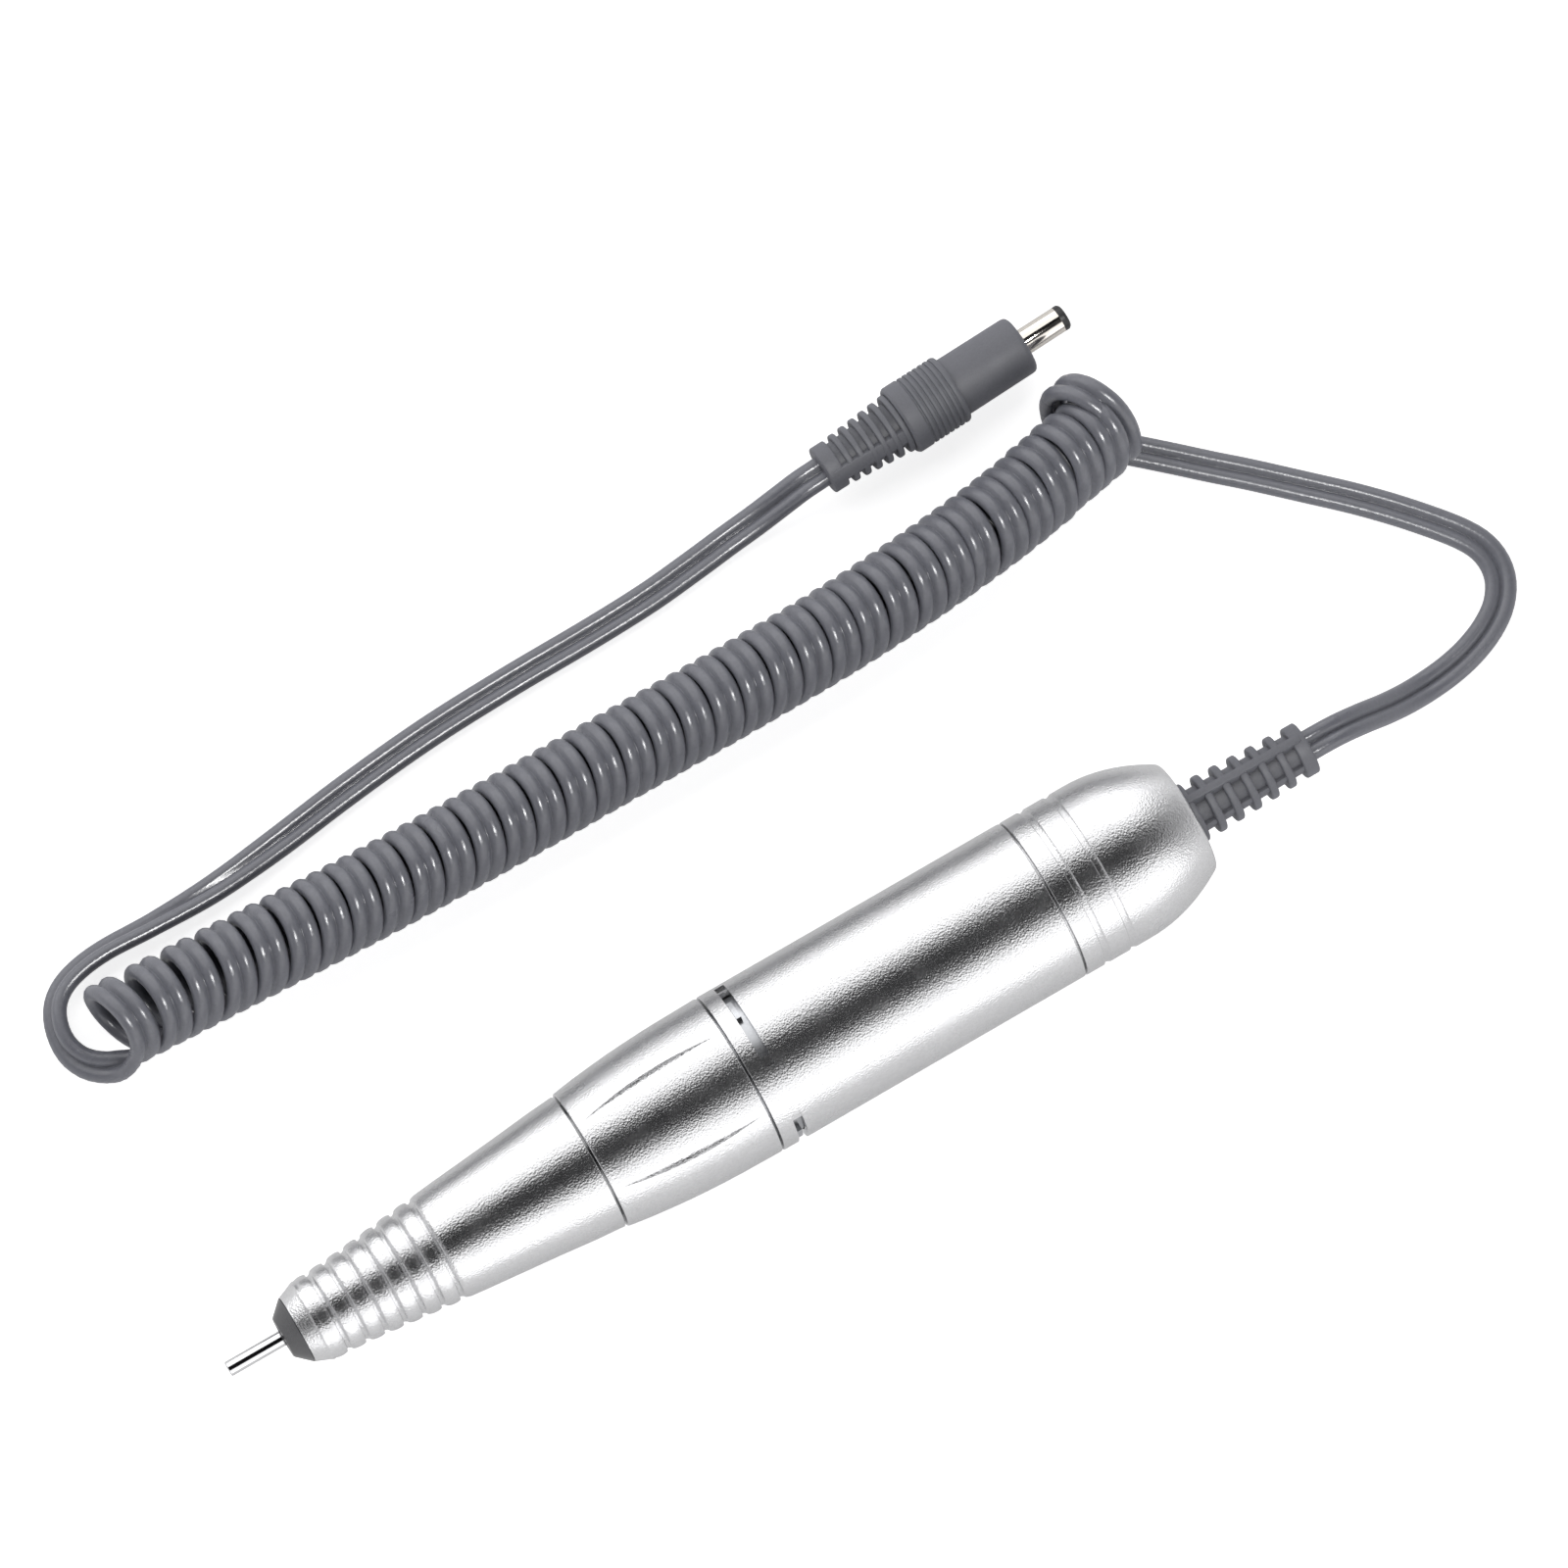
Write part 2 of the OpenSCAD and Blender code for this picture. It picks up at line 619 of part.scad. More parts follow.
module rear_cap() {
    front = cap_seam + seam_gap / 2;
    dome_to = body_len - 0.8;
    dome = [for (k = [0:11]) let (h = dome_from + (dome_to - dome_from) * k / 11) [cap_r(h), h]];
    color("#c8c9cb") on_axis() turned(concat([[10.4, 121.5], [spigot_r, 121.5], [spigot_r, front],
        [body_r - 0.2, front], [body_r, front + 0.2]],
        grooved([[100, body_r], [160, body_r]], [129, 133.3]), dome,
        [[8.3, 149.7], [7.8, body_len], [3.7, body_len], [3.7, 147.2], [7, 147.2], [9.4, 143],
        [10.4, 136]]));
}

module cord_boot() {
    color("#6d6e76") on_axis() difference() {
        union() {
            relief(body_len, boot_len, [4.65, 4.05, 3.4, 3], 6, 1.15, 2.2, 1.4, boot_rail_at);
            rod(3.7, 147.2, body_len);
            rod(5, 145.4, 147.2);
        }
        twin(140, 180);
    }
}

module cord_clip() {
    color("#c9a24b") on_axis() difference() {
        block([-2, 2], [-3.2, 3.2], [142.4, 145.4]);
        twin(140, 150);
    }
}

module cord_tail() {
    color("#70717a") on_axis() twin(141, body_len + boot_len);
}

module handpiece_cord() {
    color("#70717a") swept(HANDPIECE_ROUTE, flat_section(cord_w, cord_t));
}

module cord_coil() {
    color("#70717a") swept(COIL_ROUTE, round_section(coil_d / 2, 16));
}

module plug_cord() {
    color("#70717a") swept(PLUG_ROUTE, flat_section(cord_w, cord_t));
}

module plug_cord_tail() {
    color("#70717a") on_plug() twin(0, 14);
}

module plug_grip() {
    ribs = 7;
    rib_from = grip_from + 2.7;
    rib_step = (grip_to - 0.3 - rib_from) / ribs;
    rib_line = [for (k = [0:ribs - 1], p = [[5.2, 0.05], [5.2, 0.35], [5.45, 0.5], [5.45, 0.95]])
        [p[0], rib_from + (k + p[1]) * rib_step]];
    color("#6d6e76") on_plug() difference() {
        union() {
            mirror([0, 0, 1]) relief(-grip_from, grip_from, [4.7, 3.75, 3.6, 2.9], 6, 0.85, 2.4,
                2.2, plug_rail_at);
            turned(concat([[0, grip_from], [5.1, grip_from], [5.45, grip_from + 0.35],
                [5.45, rib_from - 0.05]], rib_line, [[5.45, grip_to - 0.3], [5.2, grip_to], [0, grip_to]]));
        }
        twin(-1, 15);
        rod(3.6, 14, grip_to + 1);
    }
}

module plug_body() {
    color("#6d6e76") on_plug() turned([[3, 18], [3.6, 18], [3.6, grip_to], [4.65, grip_to],
        [4.6, plug_face - 0.9], [4.4, plug_face - 0.3], [4, plug_face], [neck_r, plug_face],
        [neck_r, 33], [3, 33]]);
}

module plug_barrel() {
    color("#d8d2c8") on_plug() union() {
        ring(barrel_d / 2, 1.6, plug_face, barrel_to);
        ring(neck_r, 1.6, 29, plug_face);
        ring(3, 1.6, 28, 29);
    }
}

module plug_insulator() {
    color("#1d1d1f") on_plug() turned([[1.15, 27], [1.6, 27], [1.6, barrel_to], [2, barrel_to],
        [2, plug_tip - 0.4], [1.6, plug_tip], [1.1, plug_tip], [1, barrel_to + 0.4], [1.15, barrel_to]]);
}

module plug_contact() {
    color("#c9ccd0") on_plug() difference() {
        rod(1.15, 26, barrel_to);
        rod(barrel_hole / 2, 32.3, plug_tip);
    }
}

module plug_leads() {
    color("#a8322a") on_plug() {
        wire(CONTACT_LEAD);
        wire(BARREL_LEAD);
    }
}

nose_bezel();
nose_cone();
twist_sleeve();
sleeve_o_ring();
cam_ring();
chuck_body();
pressure_ring();
release_pins();
spindle();
collet();
draw_rod();
cross_pin();
push_collar();
chuck_spring();
bit();
front_bearing_outer_rings();
front_bearing_inner_rings();
front_bearing_balls();
bearing_spacer();
bearing_nut();
rear_bearing_outer_ring();
rear_bearing_inner_ring();
rear_bearing_balls();
bearing_retainer();
spindle_coupling();
motor_coupling();
motor_housing();
motor_front_plate();
motor_can();
stator_magnets();
rotor_core();
rotor_windings();
commutator();
motor_shaft();
motor_bearing_outer_rings();
motor_bearing_inner_rings();
motor_bearing_balls();
brush_plate();
brush_holders();
carbon_brushes();
brush_springs();
terminal_tabs();
motor_leads();
rear_cap();
cord_boot();
cord_clip();
cord_tail();
handpiece_cord();
cord_coil();
plug_cord();
plug_cord_tail();
plug_grip();
plug_body();
plug_barrel();
plug_insulator();
plug_contact();
plug_leads();
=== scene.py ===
# %% [markdown]
# # A nail drill handpiece, its curly cord and its barrel plug
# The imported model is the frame: it says where every part is and how big it is. Each step below
# gives one real piece its finished shape or its finish, and rides it on the body it belongs to.
# All lengths are metres, with MM for sizes that a maker would write in millimetres.

import bpy
import json
import math
from mathutils import Matrix, Vector


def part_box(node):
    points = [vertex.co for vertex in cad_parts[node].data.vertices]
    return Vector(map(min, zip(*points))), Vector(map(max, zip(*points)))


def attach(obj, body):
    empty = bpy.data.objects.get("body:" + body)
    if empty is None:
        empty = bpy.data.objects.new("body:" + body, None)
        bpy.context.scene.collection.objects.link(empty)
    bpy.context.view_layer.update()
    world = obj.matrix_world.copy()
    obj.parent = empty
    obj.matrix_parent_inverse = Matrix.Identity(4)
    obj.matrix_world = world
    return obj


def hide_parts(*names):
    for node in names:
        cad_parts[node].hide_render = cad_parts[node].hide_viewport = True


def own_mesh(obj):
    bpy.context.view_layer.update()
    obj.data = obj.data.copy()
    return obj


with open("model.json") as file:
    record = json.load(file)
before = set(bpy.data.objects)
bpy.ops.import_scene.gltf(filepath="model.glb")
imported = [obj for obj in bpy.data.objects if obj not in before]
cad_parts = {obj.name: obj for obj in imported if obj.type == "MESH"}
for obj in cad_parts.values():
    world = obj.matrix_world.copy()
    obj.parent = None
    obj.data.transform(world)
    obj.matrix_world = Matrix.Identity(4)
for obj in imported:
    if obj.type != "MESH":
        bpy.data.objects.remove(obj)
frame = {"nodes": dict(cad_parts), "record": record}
record = frame["record"]
MM = 0.001
UP = Vector((0, 0, 1))


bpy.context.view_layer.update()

# %% [markdown]
# ## Camera
# The view is steep, 78 degrees above the table, and turned 30 degrees, so that the handpiece runs
# up the view from left to right. A long lens over a metre away keeps the lines nearly parallel.
# The camera's own axes are built from those two angles: right is level, back points at the lens.

# %% Camera
elevation = math.radians(78)
azimuth = math.radians(-30.42)
aim = Vector((23.2, 35.7, 0)) * MM
right = Vector((math.cos(azimuth), math.sin(azimuth), 0))
back = Vector((math.sin(azimuth) * math.cos(elevation), -math.cos(azimuth) * math.cos(elevation),
    math.sin(elevation)))
place = aim + back * 1580 * MM
lens = bpy.data.cameras.new("camera")
lens.lens = 250
lens.sensor_width = 36
lens.clip_start = 0.01
camera = bpy.data.objects.new("camera", lens)
bpy.context.scene.collection.objects.link(camera)
camera_axes = Matrix((right, back.cross(right), back)).transposed()
camera.matrix_world = Matrix.Translation(place) @ camera_axes.to_4x4()
bpy.context.scene.camera = camera
print("camera at", [round(v, 3) for v in place])

# %% [markdown]
# ## Table and light
# Satin metal shows its room: a dark line along the side that faces the lens, a bright band on
# each flank, and a soft grey where the table is mirrored. Two long soft boxes hang beside the
# handpiece, nearly 60 degrees off the line of sight, and the sky between them is nearly black.
# A third, small lamp hangs near the lens and gives reflections but no diffuse light. The table
# glows a little, and more where the camera sees it directly, so shadows stay faint.

# %% Table
GLOW_TO_ALL = 0.2
GLOW_TO_CAMERA = 0.6

bpy.ops.object.select_all(action="DESELECT")
bpy.ops.mesh.primitive_plane_add(size=6, location=(0, 0, 0))
table = bpy.context.object
table.name = "table"
paper = bpy.data.materials.new("table_paper")
paper.use_nodes = True
paper_shader = paper.node_tree.nodes["Principled BSDF"]
paper_shader.inputs["Base Color"].default_value = (0.78, 0.78, 0.78, 1)
paper_shader.inputs["Roughness"].default_value = 0.9
paper_shader.inputs["Specular IOR Level"].default_value = 0.1
paper_shader.inputs["Emission Color"].default_value = (1, 1, 1, 1)
seen = paper.node_tree.nodes.new("ShaderNodeLightPath")
glow = paper.node_tree.nodes.new("ShaderNodeMath")
glow.operation = "MULTIPLY_ADD"
glow.inputs[1].default_value = GLOW_TO_CAMERA
glow.inputs[2].default_value = GLOW_TO_ALL
paper.node_tree.links.new(seen.outputs["Is Camera Ray"], glow.inputs[0])
paper.node_tree.links.new(glow.outputs[0], paper_shader.inputs["Emission Strength"])
table.data.materials.append(paper)

# %% Soft boxes and sky
bpy.context.scene.view_settings.view_transform = "Standard"


def soft_box(name, turn_from_view, reach, size, watts):
    """A rectangular lamp beside the handpiece, long in X, turned from the view line about X."""
    tilt = Matrix.Rotation(math.radians(turn_from_view), 3, "X")
    side = (tilt @ Vector((0, back.y, back.z))).normalized()
    lamp = bpy.data.lights.new(name, "AREA")
    lamp.shape = "RECTANGLE"
    lamp.size, lamp.size_y = size
    lamp.energy = watts
    holder = bpy.data.objects.new(name, lamp)
    bpy.context.scene.collection.objects.link(holder)
    holder.matrix_world = Matrix.Translation(Vector((0.02, 0, 0.01)) + side * reach) @ Matrix(
        (Vector((1, 0, 0)), side.cross(Vector((1, 0, 0))), side)).transposed().to_4x4()
    print(name, "at", [round(v, 2) for v in holder.matrix_world.translation])
    return holder


soft_box("near_box", 57, 0.7, (1.4, 0.76), 3.5)
soft_box("far_box", -59, 0.7, (1.4, 0.84), 5.0)
lens_lamp = soft_box("lens_lamp", 6, 0.9, (0.3, 0.1), 8.0)
lens_lamp.visible_diffuse = False

sky = bpy.data.worlds.new("studio")
sky.use_nodes = True
bpy.context.scene.world = sky
sky_nodes = sky.node_tree.nodes
sky_links = sky.node_tree.links
direction = sky_nodes.new("ShaderNodeTexCoord")
split = sky_nodes.new("ShaderNodeSeparateXYZ")
height = sky_nodes.new("ShaderNodeValToRGB")
height.color_ramp.elements[0].position = 0.0
height.color_ramp.elements[0].color = (0.85, 0.85, 0.86, 1)
height.color_ramp.elements[1].position = 0.85
height.color_ramp.elements[1].color = (0.005, 0.005, 0.006, 1)
sky_links.new(direction.outputs["Generated"], split.inputs[0])
sky_links.new(split.outputs["Z"], height.inputs["Fac"])
sky_links.new(height.outputs["Color"], sky_nodes["Background"].inputs["Color"])

# %% [markdown]
# ## The cord
# One flat twin cord, two round cores side by side in a soft grey jacket, runs from the boot to
# the plug. It is 4.7 mm wide and half as thick. It could be a curve with a bevel, but a curve
# twists its section on a helix, so rings of points are swept along the route by hand: on each
# ring the wide way lies along the coil's axis, leans in the bend before the coil, or lies flat
# where the cord runs straight. Routes, distances and sizes of the cord are in mm.

# %% Cord route
HANDPIECE_ROUTE = [(89.5, 0, 12.6), (92, 0, 12.6), (95, 0, 12), (99, 0, 9.8), (103, 0, 6.8),
    (107, 0.2, 4), (111, 0.6, 2), (115, 1.1, 1.3), (119, 2, 1.2), (123, 3.6, 1.2),
    (126.4, 6, 1.2), (128.6, 9.4, 1.2), (128.9, 13.4, 1.2), (127.2, 17.4, 1.2),
    (122.5, 23.4, 1.2), (117, 29.4, 1.2), (111, 35.2, 1.2), (105, 40.9, 1.2), (100.8, 44.7, 1.2)]
PLUG_ROUTE = [(-82.4, 61.9, 2.4), (-79, 63.2, 2.4), (-74, 63.8, 2.35), (-66, 63.6, 2.2),
    (-56, 63.8, 1.95), (-45, 65, 1.5), (-32, 66.8, 1.2), (-18, 68.2, 1.2), (-4, 68.8, 1.2),
    (10, 69, 1.2), (20, 69.4, 1.2), (28, 70.2, 1.2), (34, 70.9, 1.3), (39, 71.3, 2), (43, 71.6, 3.2),
    (47, 71.8, 5), (49.5, 71.9, 5.45), (51, 72, 5.45)]
COIL_ROUTE = [(-79.4, 52.7, 6.75), (-57, 51.6, 6.75), (-37, 50.7, 6.75), (-17, 50.3, 6.75),
    (3, 50.2, 6.75), (23, 50.1, 6.75), (43, 50.4, 6.75), (62, 51.8, 6.75), (76, 53.7, 6.75),
    (89.8, 56.1, 6.75)]
# Round the bend before the coil, and over and back under the coil's last turns
COIL_START = [(-84.6, 59.8, 2.5), (-85.8, 56.8, 2.5), (-85.9, 53.6, 2.5), (-84.7, 50.7, 2.6),
    (-82.3, 48.5, 3.1), (-79.4, 47.2, 4.6)]
COIL_END = [(88.6, 52.4, 4.7), (90.2, 51.2, 8), (90.9, 53.6, 11.8), (90.5, 56.8, 14.2),
    (89.2, 60, 14.9), (87.9, 62.3, 14), (86.5, 63.8, 12), (85.5, 64.1, 9.2), (84.9, 63.3, 6),
    (84.7, 61.6, 3.4),
    (85, 59.4, 1.8), (88, 56.3, 1.2), (92.2, 52.6, 1.2), (96.6, 48.6, 1.2)]
TURNS = 34
COIL_R = 5.575
STEPS_A_TURN = 36
# Every turn leans by these, and the first turns lean further, fading over a few turns
TOP_LEAN = 2.1
SIDE_LEAN = 0.45
OPEN_LEAN = 2.1
OPEN_TURNS = 1.3
# The last turns climb over the ones before them
CLIMB_FROM = 30.5
CLIMB_OVER = 1.8
CLIMB = 2.4


def smooth_line(points, spacing):
    """Points about `spacing` apart on a smooth curve through the given ones."""
    points = [Vector(p) for p in points]
    ends = [2 * points[0] - points[1]] + points + [2 * points[-1] - points[-2]]
    line = []
    for a, b, c, d in zip(ends, ends[1:], ends[2:], ends[3:]):
        steps = max(1, round((c - b).length / spacing))
        for k in range(steps):
            t = k / steps
            line.append(0.5 * (2 * b + (c - a) * t + (2 * a - 5 * b + 4 * c - d) * t * t
                + (3 * b - a - 3 * c + d) * t ** 3))
    return line + [points[-1]]


def along(line, share):
    """The point and the heading at a share of a line's length."""
    place = share * (len(line) - 1)
    k = min(int(place), len(line) - 2)
    return line[k].lerp(line[k + 1], place - k), (line[k + 1] - line[k]).normalized()


coil_line = smooth_line(COIL_ROUTE, 0.5)
# The first four turns are stretched, and the rest close up slowly
pitches = [6.1, 5.3, 5.5, 5.3] + [5.04 - 0.35 * k / (TURNS - 5) for k in range(TURNS - 4)]
reached = [sum(pitches[:k]) / sum(pitches) for k in range(TURNS + 1)]


def coil_point(turn):
    """A point on the helix, and the coil's axis there. The turns lean, most at the open first one."""
    whole = min(int(turn), TURNS - 1)
    share = reached[whole] + (turn - whole) * (reached[whole + 1] - reached[whole])
    centre, axis = along(coil_line, share)
    angle = 2 * math.pi * turn
    side_lean = SIDE_LEAN + OPEN_LEAN * math.exp(-turn / OPEN_TURNS)
    drift = TOP_LEAN * math.sin(angle) + side_lean * math.cos(angle)
    rise = min(1, max(0, (turn - CLIMB_FROM) / CLIMB_OVER))
    point = (centre - UP.cross(axis) * COIL_R * math.cos(angle) + axis * drift
        + UP * (COIL_R * math.sin(angle) + CLIMB * rise * rise * (3 - 2 * rise)))
    return point, axis


helix = [coil_point(k / STEPS_A_TURN) for k in range(STEPS_A_TURN * (TURNS - 1) + 28)]
start_run = PLUG_ROUTE[::-1] + COIL_START
end_run = COIL_END + HANDPIECE_ROUTE[::-1]
print("coil from", [round(v, 1) for v in helix[0][0]], "to", [round(v, 1) for v in helix[-1][0]])

# %% Cord stations
def stations():
    """Centre points from the plug to the boot, the coil's axis at each, and where its turns start and end."""
    before = smooth_line(start_run + [helix[0][0], helix[4][0]], 1.0)
    after = smooth_line([helix[-5][0], helix[-1][0]] + end_run, 1.0)
    leave = min(range(len(before)), key=lambda k: (before[k] - helix[0][0]).length)
    join = min(range(len(after)), key=lambda k: (after[k] - helix[-1][0]).length)
    points = before[:leave] + [p for p, axis in helix] + after[join + 1:]
    first, last = leave, leave + len(helix) - 1
    axes = [helix[min(max(k - first, 0), len(helix) - 1)][1] for k in range(len(points))]
    return points, axes, first, last


points, axes, first, last = stations()
travel = [0.0]
for a, b in zip(points, points[1:]):
    travel.append(travel[-1] + (b - a).length)


def heading(k):
    return (points[min(k + 1, len(points) - 1)] - points[max(k - 1, 0)]).normalized()


def wide_way(k):
    """The direction across both cores, passing from hint to hint by the distance away from the turns."""
    ahead = heading(k)
    flat = UP.cross(ahead).normalized() if UP.cross(ahead).length > 0.2 else axes[k]
    if k < first:
        lean = flat * 0.57 + UP * 0.82
        hints = [(0, axes[k]), (9, Vector((0.2, 0.9, 0.3))), (18, lean), (30, lean), (70, flat)]
        away = travel[first] - travel[k]
    else:
        hints = [(0, axes[k]), (34, axes[k]), (48, flat)]
        away = max(0, travel[k] - travel[last])
    wide = flat
    for (near, a), (far, b) in zip(hints, hints[1:]):
        if near <= away < far:
            share = (away - near) / (far - near)
            wide = a.lerp(b, share * share * (3 - 2 * share))
    return (wide - ahead * wide.dot(ahead)).normalized()


# A few rounds of averaging with both neighbours spread any quick roll along the cord
ROLL_ROUNDS = 6
wides = [wide_way(k) for k in range(len(points))]
for _ in range(ROLL_ROUNDS):
    padded = wides[:1] + wides + wides[-1:]
    wides = [(a + b * 2 + c).normalized() for a, b, c in zip(padded, padded[1:], padded[2:])]

# %% Cord section and mesh
CORE_AT = 1.19
CORE_R = 1.16
WEB = 0.32


def cord_section():
    """The outline round both cores, as (along the width, through the thickness)."""
    reach = math.pi - math.asin(WEB / CORE_R)
    arc = [(CORE_AT + CORE_R * math.cos(a), CORE_R * math.sin(a))
        for a in [reach * (k / 5.5 - 1) for k in range(12)]]
    return arc + [(0, WEB * 0.92)] + [(-x, -y) for x, y in arc] + [(0, -WEB * 0.92)]


section = cord_section()
ring = len(section)
verts = []
for k, point in enumerate(points):
    ahead = heading(k)
    wide = (wides[k] - ahead * wides[k].dot(ahead)).normalized()
    thick = wide.cross(ahead)
    verts += [(point + wide * x + thick * y) * MM for x, y in section]
faces = [(i * ring + j, i * ring + (j + 1) % ring, (i + 1) * ring + (j + 1) % ring, (i + 1) * ring + j)
    for i in range(len(points) - 1) for j in range(ring)]
last_ring = (len(points) - 1) * ring
faces += [tuple(range(ring))[::-1], tuple(range(last_ring, last_ring + ring))]
mesh = bpy.data.meshes.new("cord")
mesh.from_pydata(verts, [], faces)
unroll = mesh.uv_layers.new(name="UVMap")
for face in mesh.polygons[:(len(points) - 1) * ring]:
    i, j = divmod(face.index, ring)
    for corner, (di, dj) in zip(face.loop_indices, ((0, 0), (0, 1), (1, 1), (1, 0))):
        unroll.data[corner].uv = (travel[i + di] * MM, (j + dj) / ring * 0.012)
cord = bpy.data.objects.new("cord", mesh)
bpy.context.scene.collection.objects.link(cord)
print("cord faces", len(faces))

# %% [markdown]
# ## Small tools for shaping
# Nearly every shown part of this tool is turned on a lathe. The modelling does the same: one
# vertex is pulled along an outline with extrude, and spin sweeps that outline round the axis.
# Corners of an outline that carry a third number are eased with a small curve of that size,
# because no machined edge is perfectly sharp, and it is the eased edge that catches the light.

# %% Shaping tools
STEPS = 144


def alone(piece):
    """Makes one object the only selected one."""
    if bpy.context.mode != "OBJECT":
        bpy.ops.object.mode_set(mode="OBJECT")
    bpy.ops.object.select_all(action="DESELECT")
    piece.select_set(True)
    bpy.context.view_layer.objects.active = piece


def eased(outline):
    """The outline with every (h, r, size) corner replaced by a small curve."""
    line = []
    count = len(outline)
    for k, corner in enumerate(outline):
        here = Vector(corner[:2])
        size = corner[2] if len(corner) > 2 else 0
        if not size:
            line.append(here)
            continue
        before = Vector(outline[k - 1][:2]) - here
        after = Vector(outline[(k + 1) % count][:2]) - here
        a = here + before.normalized() * min(size, before.length * 0.48)
        b = here + after.normalized() * min(size, after.length * 0.48)
        line += [a * (1 - t) ** 2 + here * 2 * t * (1 - t) + b * t * t for t in (0, 0.25, 0.5, 0.75, 1)]
    return line


def turned(name, outline, foot, axis, steps=STEPS, angle=2 * math.pi, start=0.0):
    """Spins an outline of (distance along, radius) corners, in mm, round the line through foot."""
    tilt = Matrix.Rotation(start, 3, axis)
    line = [foot + (axis * p.x + tilt @ UP * p.y) * MM for p in eased(outline)]
    if outline[0][1] > 0 or outline[-1][1] > 0:
        line.append(line[0])
    bpy.ops.object.select_all(action="DESELECT")
    bpy.ops.mesh.primitive_plane_add(size=0.001, location=line[0])
    piece = bpy.context.object
    piece.name = piece.data.name = name
    bpy.ops.object.mode_set(mode="EDIT")
    bpy.ops.mesh.select_all(action="SELECT")
    bpy.ops.mesh.merge(type="CENTER")
    for a, b in zip(line, line[1:]):
        bpy.ops.mesh.extrude_region_move(TRANSFORM_OT_translate={"value": b - a})
    bpy.ops.mesh.select_all(action="SELECT")
    bpy.ops.mesh.spin(steps=steps, angle=-angle, center=foot, axis=axis)
    if angle < 6:
        bpy.ops.mesh.select_all(action="SELECT")
        bpy.ops.mesh.fill_holes(sides=0)
    bpy.ops.mesh.select_all(action="SELECT")
    bpy.ops.mesh.remove_doubles(threshold=2e-6)
    bpy.ops.mesh.select_all(action="SELECT")
    bpy.ops.mesh.normals_make_consistent(inside=False)
    bpy.ops.object.mode_set(mode="OBJECT")
    bpy.ops.object.transform_apply(location=True, rotation=True, scale=True)
    return piece


def block(name, foot, axis, span, across, up, fall, turn):
    """A bar beside the axis: its span along it, its width, and its span in radius, less `fall` at the end."""
    side = UP.cross(axis)
    centre = foot + (axis * (span[0] + span[1]) / 2 + UP * (up[0] + up[1]) / 2) * MM
    bpy.ops.object.select_all(action="DESELECT")
    bpy.ops.mesh.primitive_cube_add(size=1, location=(0, 0, 0))
    piece = bpy.context.object
    piece.name = piece.data.name = name
    sizes = Matrix.Diagonal(Vector((span[1] - span[0], across, up[1] - up[0])) * MM)
    piece.matrix_world = Matrix.Translation(centre) @ (Matrix((axis, side, UP)).transposed()
        @ sizes).to_4x4()
    bpy.ops.object.transform_apply(location=True, rotation=True, scale=True)
    bpy.ops.object.mode_set(mode="EDIT")
    bpy.ops.mesh.select_all(action="DESELECT")
    bpy.ops.mesh.select_mode(type="VERT")
    bpy.ops.object.mode_set(mode="OBJECT")
    for vert in piece.data.vertices:
        vert.select = (vert.co - centre).dot(axis) > 0 and vert.co.z > centre.z
    bpy.ops.object.mode_set(mode="EDIT")
    bpy.ops.transform.translate(value=-UP * fall * MM)
    bpy.ops.mesh.select_all(action="SELECT")
    bpy.ops.mesh.bevel(offset=0.25 * MM, segments=2, affect="EDGES")
    bpy.ops.object.mode_set(mode="OBJECT")
    piece.data.transform(Matrix.Translation(foot) @ Matrix.Rotation(turn, 4, axis)
        @ Matrix.Translation(-foot))
    return piece


def joined(pieces):
    """Joins several objects into the first."""
    alone(pieces[0])
    for piece in pieces[1:]:
        piece.select_set(True)
    bpy.ops.object.join()
    return pieces[0]


def cut(piece, tool, way="DIFFERENCE"):
    """Cuts a piece with a tool, which is then thrown away."""
    alone(piece)
    bpy.ops.object.modifier_add(type="BOOLEAN")
    modifier = piece.modifiers[-1]
    modifier.operation = way
    modifier.solver = "EXACT"
    modifier.object = tool
    bpy.ops.object.modifier_apply(modifier=modifier.name)
    bpy.data.objects.remove(tool)
    return piece


def twin_of(piece, turn, foot, axis):
    """A copy with its own mesh, turned about the axis."""
    copy = piece.copy()
    copy.data = piece.data.copy()
    bpy.context.scene.collection.objects.link(copy)
    copy.data.transform(Matrix.Translation(foot) @ Matrix.Rotation(turn, 4, axis)
        @ Matrix.Translation(-foot))
    return copy


def done(piece, body, slot, *nodes, smooth=30):
    """Smooths a finished piece, gives it its finish, rides it on its body and hides the frame's parts it
    stands for.
    """
    alone(piece)
    bpy.ops.object.shade_smooth_by_angle(angle=math.radians(smooth))
    piece.data.materials.clear()
    piece.data.materials.append(finishes[slot])
    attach(piece, body)
    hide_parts(*nodes)
    print(piece.name, "faces", len(piece.data.polygons))
    return piece

# %% [markdown]
# ## Effects that several finishes share
# A surface is more than a colour: blasting leaves a fine grain, turning leaves rings, moulding
# leaves a soft skin, and handling leaves a faint unevenness in the gloss. Each is a node group
# with named inputs, built once and placed in every material that needs it.

# %% Node groups
def new_group(name, inputs, outputs):
    """An empty group: inputs are (name, default) and outputs are names."""
    tree = bpy.data.node_groups.new(name, "ShaderNodeTree")
    for label, value in inputs:
        tree.interface.new_socket(label, in_out="INPUT", socket_type="NodeSocketFloat").default_value = value
    for label in outputs:
        tree.interface.new_socket(label, in_out="OUTPUT", socket_type="NodeSocketFloat")
    return tree, tree.nodes.new("NodeGroupInput"), tree.nodes.new("NodeGroupOutput")


def add(tree, kind, links, **values):
    """Adds a node, sets its named properties or inputs, and links sockets into it."""
    node = tree.nodes.new("ShaderNode" + kind)
    for label, value in values.items():
        if hasattr(node, label):
            setattr(node, label, value)
        else:
            node.inputs[label.replace("_", " ")].default_value = value
    for label, socket in links.items():
        tree.links.new(socket, node.inputs[label])
    return node


